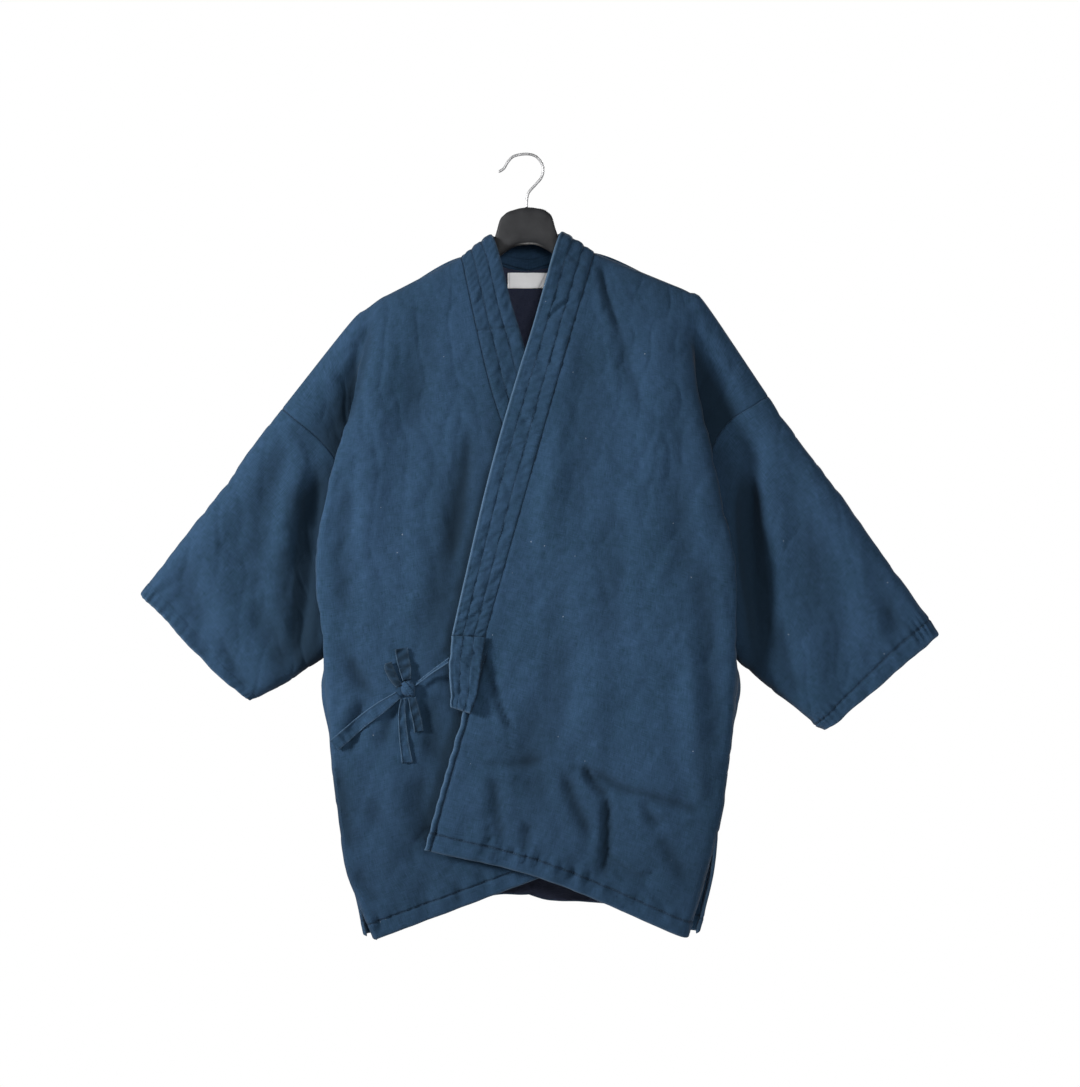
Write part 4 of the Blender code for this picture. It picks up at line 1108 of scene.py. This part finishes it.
# fold is an even painted shade over each stretch of the collar.
collar_left, collar_back, collar_right = (
    shell(name, outer[part], inner[part], "cotton", seam=mark[part], highlight_and_wear=highlight_and_wear, fold=fold)
    for name, (outer, inner, mark, highlight_and_wear), part, fold in (
        ("collar_left_cloth", rolled, over_rows, 0.12),
        ("collar_back_cloth", flat_band, neck_rows, 0.1),
        ("collar_right_cloth", flat_band, under_rows, 0.2)))
print("collar length:", round(along_band[-1] * MM, 3), "m")

# %% [markdown]
# ## The collar's loose end
# Below the cross seam the over collar stands free of the front and ends in a slant. It's the
# same quilted band, flatter, with its edges rounded over on all free sides.

# %% Loose end
tail_table = np.array(COLLAR_TAIL)
tail_down = np.linspace(0, 1, TAIL_ROWS)
tail_left, tail_right, tail_z, tail_depth = through(
    np.linspace(0, 1, len(tail_table)), tail_table, tail_down).T[..., None]
tail_x = tail_left + (tail_right - tail_left) * ACROSS_BAND
slant = tail_down[:, None] ** 3 * TAIL_SLANT * ACROSS_BAND
tail = np.stack([tail_x, np.broadcast_to(-tail_depth, tail_x.shape), tail_z - slant], -1)
tail[..., 1] += 0.5 * waves(tail[..., 0], tail[..., 2], 81, 60, 20)
tail[..., 0] += 0.6 * waves(tail[..., 2], 0.0, 82, 40, 12) * (1 - ACROSS_BAND)
tail[..., 2] += (2.5 - 1.8 * ACROSS_BAND) * np.linspace(1, 0, TAIL_ROWS)[:, None] ** 4
tail = tail[:, ::-1]
tail_way = outward(tail, -1)
tail_along = lengths(tail[:, MIDDLE_COLUMN]) + 400
# The loose end's pale edges, at its sides and its end, are a painted highlight; its seam mark is painted
# shade in the grooves.
tail_face, tail_inside, tail_seam, tail_highlight = quilted(tail, tail_way, tail_along, TAIL_WIDTH, 83, 0.5, 1.0)
from_end = np.linspace(1, 0, TAIL_ROWS)[:, None] * TAIL_LENGTH
thin = (0.2 + 0.8 * rounded(from_end, 3.0))[..., None]
tail_face = tail + (tail_face - tail) * thin
tail_inside = tail + (tail_inside - tail) * thin
# fold is an even painted shade over the loose end.
collar_tail = shell("collar_tail_cloth", tail_face, tail_inside, "cotton", seam=0.7 * tail_seam, fold=0.16,
                    highlight_and_wear=np.clip(tail_highlight[None] + 0.8 * np.exp(-((from_end / 1.6) ** 2)), 0, 1))

# %% [markdown]
# ## Lining and label
# The dark satin shows inside the neck and below the front hems. It lies just inside the back,
# so it is made from the back's own points, moved in. The label is sewn to it below the collar,
# white and bare, with one corner turned.

# %% Lining and label
LINING_IN = WALL / 2 + 3.4  # clear of the back's creases
LINING_ROWS = np.searchsorted(DOWN, (0.006, 0.9978))
SPREAD = int((DENSE - 1) * 0.34)  # columns of the back that it covers on each side
wide = np.concatenate([under_back_dense[:, SPREAD:0:-3], over_back_dense[:, :SPREAD + 1:3]], axis=1)
wide = wide[LINING_ROWS[0]:LINING_ROWS[1]]
lining_way = outward(wide, 1)
LINING_CREASES = (
    (-14, -150, -6, -290, 3, 7, 2.4),
    (-2, -160, 0, -330, 0, 2.2, 2.0),
    (9, -165, 16, -300, -2, 6, 2.2),
    (-20, -190, 6, -230, 2, 5, 1.8),
    (20, -200, 8, -260, 2, 5, -1.6),
    (10, -760, 20, -840, 2, 5, 1.6),
    (36, -760, 40, -840, 2, 6, -1.6),
)
lining_sink = creases(LINING_CREASES, wide[..., 0], wide[..., 2])
lining_sink = lining_sink + 1.2 * waves(wide[..., 0], wide[..., 2], 91, 50, 12)
lining_face = wide - lining_way * (LINING_IN + 0.5 - lining_sink * 0.6)[..., None]
lining_back = lining_face + lining_way * 0.7
middle_seam = np.exp(-(((wide[..., 0] - CENTRE_BACK) / 0.9) ** 2))
lining = shell("lining_back_cloth", lining_face, lining_back, "satin", seam=middle_seam)


def depth_at(grid, x, z):
    """Depth of a grid at places seen from the front: along each row, then down the rows."""
    x, z = np.atleast_1d(x), np.atleast_1d(z)
    order = 1 if grid[len(grid) // 2, -1, 0] > grid[len(grid) // 2, 0, 0] else -1
    heights = np.array([np.interp(x, row[::order, 0], row[::order, 2]) for row in grid])
    depths = np.array([np.interp(x, row[::order, 0], row[::order, 1]) for row in grid])
    return np.array([np.interp(-z[k], -heights[:, k], depths[:, k]) for k in range(len(x))])


label_x, label_z = np.meshgrid(np.linspace(-20.5, 24.5, 46), np.linspace(-127.2, -144.2, 20))
label_y = depth_at(lining_face, label_x.ravel(), label_z.ravel()).reshape(label_x.shape) - 1.5
label_y += 0.35 * np.sin(label_x / 4.1) * smooth(-128, -144, label_z)
to_corner = label_x + (label_z + 136.6) * -0.5  # towards the turned corner
corner = smooth(14, 25, to_corner)
label_grid = np.stack([label_x, label_y - 2.2 * corner, label_z], axis=-1)
label_way = outward(label_grid, -1)
label_mark = np.exp(-(((to_corner - 17.5) / 1.1) ** 2)) * 0.5
label_mark = np.clip(label_mark + np.exp(-(((label_x + 18.4) / 0.6) ** 2)) * 0.4, 0, 1)
label = shell("neck_label_cloth", label_grid + label_way * 0.3, label_grid - label_way * 0.3, "label",
              seam=label_mark)

# %% [markdown]
# ## Straps and bow
# Each strap is a strip carried along a line, with a slight roll at its edges and gathers across
# it near the knot. Strips are wrapped round the knot, so that it reads as cloth pulled tight.

# %% Straps
STRAP_WALL = 1.6


def strap(name, centre, across, lifts, seed, wall=STRAP_WALL, gather=0.5, cup=0.6, dark=0.0, rim=0.9):
    """A strip: a smooth centre line, its half width as a vector, and a roll of cup at its edges."""
    centre, half = np.array(centre, float), np.array(across, float) / 2
    count = 20 * len(centre)
    knots, at = np.linspace(0, 1, len(centre)), np.linspace(0, 1, count)
    depth = depth_at(under_face, centre[:, 0], centre[:, 1]) - STRAP_WALL / 2 - 0.5 - np.array(lifts)
    line = through(knots, np.column_stack([centre[:, 0], depth, centre[:, 1]]), at)
    side = through(knots, np.column_stack([half[:, 0], np.zeros(len(half)), half[:, 1]]), at)
    spread = np.sin(np.linspace(-np.pi / 2, np.pi / 2, 17))
    grid = line[:, None] + side[:, None] * spread[None, :, None]
    run = lengths(line)
    under = depth_at(under_face, grid[..., 0].ravel(), grid[..., 2].ravel()).reshape(grid.shape[:2])
    grid[..., 1] = np.minimum(grid[..., 1], under - STRAP_WALL / 2 - 0.9)
    grid[..., 1] -= cup * spread[None] ** 2
    grid[..., 1] += 0.6 * gather * waves(run[:, None], 3 * spread[None], seed, 18, 6)
    way = outward(grid, -1)
    width = 2 * np.linalg.norm(side, axis=1)[:, None]
    from_side = (1 - np.abs(spread[None])) * width / 2
    from_end = np.minimum(run, run[-1] - run)[:, None]
    full = np.maximum(rounded(from_side, 1.2) * rounded(from_end, 1.2), 0.15)
    # Stitch lines near both edges: a shallow groove with painted shade in it.
    line_mark = np.exp(-(((from_side - 1.5) / 0.5) ** 2))
    full = (full * wall / 2 - 0.2 * line_mark)[..., None]
    # Painted highlight along the strap's edges.
    highlight_and_wear = 0.5 * np.exp(-((from_side / rim) ** 2))
    ripples = 0.5 + 0.5 * np.sin(run[:, None] / 1.9 + 2 * spread[None] + seed)
    # The fold mark is painted shade: a little over the ripples, and more, by dark, on the strap ends and the
    # loop.
    made = shell(name, grid + way * full, grid - way * full, "cotton", seam=0.6 * line_mark, highlight_and_wear=highlight_and_wear,
                 fold=np.clip(0.15 * ripples + dark * (0.55 + 0.45 * ripples), 0, 0.9))
    return made, grid + way * full, way


# For each strap: its centre line (x, z), its width as a vector (x, z), how far each place is
# lifted off the cloth, and what else differs.
TIES = {
    "tie_side": (((-209, -647), (-196, -636), (-180, -622), (-160, -607), (-138.5, -591.5)),
                 ((-9, 11), (-9, 11), (-8, 11), (-8, 11), (-5, 7)), (0.8, 0.6, 0.4, 0.8, 2.4), {}),
    "tie_front": (((-83.4, -553), (-92, -559), (-101, -565.5), (-110, -572.5), (-118.4, -579)),
                  ((1, 6), (2, 6), (2, 5), (2, 5), (3, 5)), (19.5, 15.0, 9.0, 5.0, 4.2), {"cup": 1.4}),
    "tie_end_up": (((-135.5, -541), (-134, -552), (-131.5, -564), (-129.5, -575.5)),
                   ((14, 2), (14, 1), (13, 2), (9, 2)), (1.6, 0.8, 1.1, 3.4), {"gather": 1.3, "dark": 0.75}),
    "tie_end_short": (((-124, -594.5), (-121, -608), (-118, -622), (-116.5, -632)),
                      ((8, 2), (10, 2), (10, 2), (10, 2)), (3.0, 1.0, 0.6, 0.6), {"dark": 0.7}),
    "tie_end_long": (((-133.5, -595), (-135, -612), (-133, -640), (-129, -666)),
                     ((5, 1), (8, 1), (10, 1), (12, 1)), (3.0, 1.0, 0.6, 0.6), {"cup": 1.2, "dark": 0.2}),
    "tie_loop": (((-137.6, -582.6), (-144, -573), (-149, -562), (-149.5, -556.5)),
                 ((5, 3), (8, 4), (9, 3), (6, 2)), (4.0, 3.0, 3.0, 2.6),
                 {"wall": 4.0, "cup": -1.2, "dark": 1.2, "rim": 1.7}),
}
straps = {}
for number, (name, (centre, across, lifts, more)) in enumerate(TIES.items()):
    straps[name] = strap(name + "_cloth", centre, across, lifts, 101 + number, **more)


# %% Knot
def knot(name, centre, radii):
    """A squashed ball: radius 1 with two strips wrapped round it, each a raised band."""
    down, round_ = np.meshgrid(
        np.linspace(0, np.pi, 40)[1:-1], np.linspace(0, 2 * np.pi, 64, endpoint=False), indexing="ij")
    ball = np.stack([np.sin(down) * np.cos(round_), np.sin(down) * np.sin(round_), np.cos(down)], axis=-1)
    tilt = ball @ unit(np.array((0.75, 0.1, 0.65)))
    other = ball @ unit(np.array((0.3, 0.2, -0.93)))
    rise = 0.16 * np.exp(-((tilt / 0.34) ** 6)) - 0.1 * np.exp(-(((np.abs(tilt) - 0.36) / 0.06) ** 2))
    rise += 0.05 * np.sin(other * 22) * np.exp(-((tilt / 0.5) ** 2)) + 0.03 * np.sin(round_ * 5 + down * 3)
    points = ball * (1 + rise - 0.04)[..., None] * radii + centre
    poles = np.array(((0, 0, radii[2] * 0.97), (0, 0, -radii[2] * 0.97))) + centre
    rows, columns = down.shape
    face, _, _ = tray(points, closed=True)
    index = np.arange(rows * columns).reshape(rows, columns)
    top = np.stack([np.full(columns, rows * columns), index[0], np.roll(index[0], -1)], 1)
    low = np.stack([np.full(columns, rows * columns + 1), np.roll(index[-1], -1), index[-1]], 1)
    mesh = bpy.data.meshes.new(name)
    whole = np.concatenate([points.reshape(-1, 3), poles]) * MM
    turned = [corners[::-1] for part in (face, top, low) for corners in part.tolist()]
    mesh.from_pydata(whole.tolist(), [], turned)
    # Painted shade in the grooves beside each wrapped band, kept as the seam mark.
    marks = np.append(np.exp(-(((np.abs(tilt) - 0.36) / 0.05) ** 2)).ravel(), (0, 0))
    keep(mesh, "seam", 0.7 * marks)
    return place(name, outward_mesh(mesh), "cotton")


def outward_mesh(mesh):
    """Turns every face of a closed mesh to point out."""
    made = bmesh.new()
    made.from_mesh(mesh)
    bmesh.ops.recalc_face_normals(made, faces=made.faces)
    made.to_mesh(mesh)
    made.free()
    return mesh


knot_y = depth_at(under_face, -128.0, -585.0)[0] - 0.5 - KNOT_RADII[1]
tie_knot = knot("tie_knot_cloth", np.array((-128.0, knot_y, -585.0)), np.array(KNOT_RADII))

# %% [markdown]
# ## Hanger and hook
# Both are one profile carried along a path. The hanger's profile is a rounded rectangle that
# grows into the tall head; the hook's is a circle along bent wire, rounded off at its tip.

# %% Tubes
def tube(name, rings, finish, highlight_and_wear=None):
    """Joins rings of points into a closed skin with a flat face at each end."""
    rows, columns = rings.shape[:2]
    face, _, _ = tray(rings, closed=True)
    last = (rows - 1) * columns
    caps = [list(range(columns))[::-1], [last + k for k in range(columns)]]
    mesh = bpy.data.meshes.new(name)
    mesh.from_pydata((rings.reshape(-1, 3) * MM).tolist(), [], face.tolist() + caps)
    if highlight_and_wear is not None:
        keep(mesh, "highlight_and_wear", highlight_and_wear)
    return place(name, outward_mesh(mesh), finish)


def hanger_rows():
    """Top, bottom and half depth of the hanger at places from one arm's end to the other's."""
    sides = []
    for side, top in ((-1, under_dense[0]), (1, over_dense[0])):
        head = [(side * x, high + HANGER_TILT * side * x, low + HANGER_TILT * side * x, deep)
                for x, high, low, deep in HANGER_HEAD]
        places = np.array(ARM_PLACES) * side
        order = np.argsort(top[:, 0])
        high = np.interp(places, top[order, 0], top[order, 2]) - ARM_DROP
        arm = [(x, z, z - ARM_HEIGHT, ARM_HALF_DEPTH) for x, z in zip(places, high)]
        arm[-1] = (arm[-1][0], arm[-1][1] - 2, arm[-1][2] + 3, ARM_HALF_DEPTH - 2)
        sides.append(head + arm)
    return np.array(sides[0][:0:-1] + sides[1])


HANGER_ROUND = 56
HANGER_PLACES = np.unique(np.concatenate([np.linspace(-170, 170, 120), np.linspace(-60, 60, 121)]))
sizes = hanger_rows()
place_x, top_z, bottom_z, half_depth = through(sizes[:, 0], sizes, HANGER_PLACES).T[..., None]
hanger_turn = np.linspace(0, 2 * np.pi, HANGER_ROUND, endpoint=False)
wave = np.stack([np.cos(hanger_turn), np.sin(hanger_turn)])
squared = np.sign(wave) * np.abs(wave) ** 0.5
rings = np.stack([np.broadcast_to(place_x, (len(place_x), HANGER_ROUND)), half_depth * squared[0],
                  (top_z + bottom_z) / 2 + (top_z - bottom_z) / 2 * squared[1]], axis=-1)
# Pale grey marks under the middle of the arch.
under_arch = np.exp(-((place_x - 3) / 9) ** 2) * (squared[1] < -0.93)
hanger = tube("hanger_body_moulding", rings, "plastic", highlight_and_wear=under_arch * 0.9)

hook_line = through(np.linspace(0, 1, len(HOOK)), [(x, 0, z) for x, z in HOOK], np.linspace(0, 1, 220))
hook_way = unit(np.gradient(hook_line, axis=0))
sideways = np.cross(hook_way, (0, 1, 0))
hook_turn = np.linspace(0, 2 * np.pi, 20, endpoint=False)[None, :, None]
hook_run = lengths(hook_line)
radius = (WIRE_RADIUS * rounded(hook_run + 0.05, 1.5))[:, None, None]
around = np.cos(hook_turn) * sideways[:, None] + np.sin(hook_turn) * np.array((0, 1, 0))
hook = tube("hanger_hook_wire", hook_line[:, None] + radius * around, "wire")
print("hook length:", round(hook_run[-1] * MM, 3), "m")

# %% [markdown]
# ## Stitches
# A seam is read by its thread. Each stitch is a small tapered bead of five sides, laid on the
# cloth along its groove. One bead is made once and repeated with arrays: point = centre + along
# * tangent + out * normal + across * binormal.

# %% Rows of stitches
SIDES = 5
BEAD_POINTS = 4 * SIDES
BEAD_ALONG = np.repeat((-0.5, -0.2, 0.2, 0.5), SIDES)
BEAD_TURN = np.tile(np.linspace(0, 2 * np.pi, SIDES, endpoint=False), 4)
BEAD_GIRTH = np.repeat((0.35, 1.0, 1.0, 0.35), SIDES)
BEAD_FACES = np.array([[ring + k, ring + (k + 1) % SIDES, ring + SIDES + (k + 1) % SIDES, ring + SIDES + k]
                       for ring in (0, SIDES, 2 * SIDES) for k in range(SIDES)])


def stitches(name, lines, pitch=3.4, length=2.5, girth=0.27):
    """Beads along lines, each line a pair of points and outward directions."""
    points, faces, caps, made = [], [], [], 0
    for line, way in lines:
        run = lengths(line)
        centre = np.arange(pitch, run[-1] - pitch / 2, pitch)
        at = at_lengths(line, centre)
        out = unit(np.stack([np.interp(centre, run, way[:, k]) for k in range(3)], axis=1))
        along = unit(at_lengths(line, centre + 0.8) - at_lengths(line, centre - 0.8))
        side = unit(np.cross(along, out))
        bead = (at[:, None] + along[:, None] * (BEAD_ALONG * length)[None, :, None]
                + out[:, None] * (np.cos(BEAD_TURN) * BEAD_GIRTH * girth + 0.1)[None, :, None]
                + side[:, None] * (np.sin(BEAD_TURN) * BEAD_GIRTH * girth)[None, :, None])
        start = made + BEAD_POINTS * np.arange(len(at))[:, None, None]
        points.append(bead.reshape(-1, 3))
        faces.append((start + BEAD_FACES[None]).reshape(-1, 4))
        caps.append((start + np.array([[4, 3, 2, 1, 0], [15, 16, 17, 18, 19]])[None]).reshape(-1, 5))
        made += BEAD_POINTS * len(at)
    mesh = bpy.data.meshes.new(name)
    mesh.from_pydata((np.concatenate(points) * MM).tolist(), [],
                     np.concatenate(faces).tolist() + np.concatenate(caps).tolist())
    print(name, "stitches:", made // BEAD_POINTS)
    return place(name, outward_mesh(mesh), "thread")


hem_row = int(np.argmin(np.abs((1 - DOWN) * LENGTH - HEM)))
strip_column = int(np.argmin(np.abs(MARGIN - STRIP)))
below = DOWN > 0.63
lines = [
    (over_face[hem_row], over_way[hem_row]),
    (under_face[hem_row], under_way[hem_row]),
    (over_back_face[hem_row], over_back_way[hem_row]),
    (under_back_face[hem_row], under_back_way[hem_row]),
    (over_face[below, strip_column], over_way[below, strip_column]),
]
cuff_row = left_sleeve_face.shape[0] - 10
lines.append((left_sleeve_face[cuff_row], left_sleeve_way[cuff_row]))
for boundary in (12, 24):  # the columns between two channels
    for cloth, part in ((rolled[0], over_rows), (band_face, neck_rows), (band_face, under_rows)):
        lines.append((cloth[part, boundary], band_way[part, boundary]))
    lines.append((tail_face[:, boundary], tail_way[:, boundary]))
# Short rows that hold the ends of the slits: (front, x0, z0, x1, z1).
for cloth, x0, z0, x1, z1 in (
    (under_face, -196, -784, -160, -840),
    (under_face, -197, -781, -190, -781),
    (over_face, 192, -774, 181, -812),
    (over_face, 192, -776, 198, -776),
):
    row_x, row_z = np.linspace(x0, x1, 40), np.linspace(z0, z1, 40)
    row = np.stack([row_x, depth_at(cloth, row_x, row_z), row_z], axis=1)
    lines.append((row, np.broadcast_to((0.0, -1.0, 0.0), row.shape)))
stitches("seam_thread", lines)
strap_lines = []
for name in ("tie_side", "tie_end_up", "tie_end_short", "tie_end_long"):
    _, strap_face, strap_way = straps[name]
    for edge in (3, 13):
        strap_lines.append((strap_face[:, edge], strap_way[:, edge]))
strap_thread = stitches("strap_thread", strap_lines, pitch=2.6, length=1.9, girth=0.18)

# %% [markdown]
# ## Which piece stands for which solid
# Every cloth replaces the plain solid of its name, which stays for collision.

# %% Replace the solids
for piece, node in (
    (front_left, "front_left"), (front_right, "front_right"), (back_left, "back_left"),
    (back_right, "back_right"), (sleeve_left, "sleeve_left"), (sleeve_right, "sleeve_right"),
    (collar_left, "collar_left"), (collar_right, "collar_right"), (collar_back, "collar_back"),
    (collar_tail, "collar_tail"), (lining, "lining_back"), (label, "neck_label"),
    (tie_knot, "tie_knot"), (hanger, "hanger_body"), (hook, "hanger_hook"),
):
    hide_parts(node)
for name, (piece, _, _) in straps.items():
    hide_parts(name)

tie_pieces = [piece for piece, _, _ in straps.values()] + [tie_knot, strap_thread]

# %% [markdown]
# ## Floor, light and camera
# The floor is plain and pale, well below the hem, and out of the front picture. The key light
# stands to the left and grazes the cloth, a weak one beside the camera and a wide one to the
# right fill in, and one behind lights the back. The camera is level, 3 m away, with a long lens.
# The background is seen white, but lights the jacket only at a fifth of that.

# %% Stage
PHOTO_HEIGHT = 1.1957  # metres across the taller side of the picture, at the hanger
DISTANCE = 3.0
CENTRE = (0.0154, -0.4269)

floor_mesh = bpy.data.meshes.new("floor")
floor_mesh.from_pydata([(-2, -2, -1.5), (2, -2, -1.5), (2, 2, -1.5), (-2, 2, -1.5)], [], [(0, 1, 2, 3)])
floor = bpy.data.objects.new("floor", floor_mesh)
bpy.context.scene.collection.objects.link(floor)
pale = Finish("pale_floor", Roughness=0.9)
mottled = pale.noise(pale.place("Object"), 3.0)
pale.feed(Base_Color=pale.mix(mottled, (0.86, 0.86, 0.87, 1), (0.9, 0.9, 0.9, 1)))
floor_mesh.materials.append(pale.material)

camera_data = bpy.data.cameras.new("camera")
camera_data.sensor_width = 36
camera_data.lens = 36 * DISTANCE / PHOTO_HEIGHT
camera = bpy.data.objects.new("camera", camera_data)
camera.location = (CENTRE[0], -DISTANCE, CENTRE[1])
camera.rotation_euler = (np.pi / 2, 0, 0)
bpy.context.scene.collection.objects.link(camera)
bpy.context.scene.camera = camera


def soft_light(name, place_at, aim, size, power, spread=180):
    """A square light turned to face a point; a spread below 180 degrees dims it off its aim."""
    light = bpy.data.lights.new(name, "AREA")
    light.size = size
    light.energy = power
    light.spread = np.radians(spread)
    thing = bpy.data.objects.new(name, light)
    thing.location = place_at
    thing.rotation_euler = (Vector(aim) - Vector(place_at)).to_track_quat("-Z", "Y").to_euler()
    bpy.context.scene.collection.objects.link(thing)


soft_light("key_light", (-2.4, -1.3, 0.2), (-0.02, 0, -0.48), 0.6, 11.6, 44)
soft_light("front_light", (0.3, -2.6, 0.2), (0, 0, -0.48), 0.8, 3.0, 44)
soft_light("fill_light", (2.6, -2.2, 0.2), (0.1, 0, -0.45), 1.4, 33)
soft_light("back_light", (0.8, 2.8, 1.0), (0, 0, -0.45), 1.6, 120)

world = bpy.data.worlds.new("studio")
bpy.context.scene.world = world
world.use_nodes = True
sky = world.node_tree.nodes["Background"]
seen = world.node_tree.nodes.new("ShaderNodeLightPath")
strength = world.node_tree.nodes.new("ShaderNodeMix")
strength.inputs[2].default_value = 0.21  # as light
strength.inputs[3].default_value = 1.0  # as seen by the camera
world.node_tree.links.new(seen.outputs["Is Camera Ray"], strength.inputs[0])
world.node_tree.links.new(strength.outputs[0], sky.inputs["Strength"])
sky.inputs["Color"].default_value = (1, 1, 1, 1)
bpy.context.scene.view_settings.view_transform = "Standard"
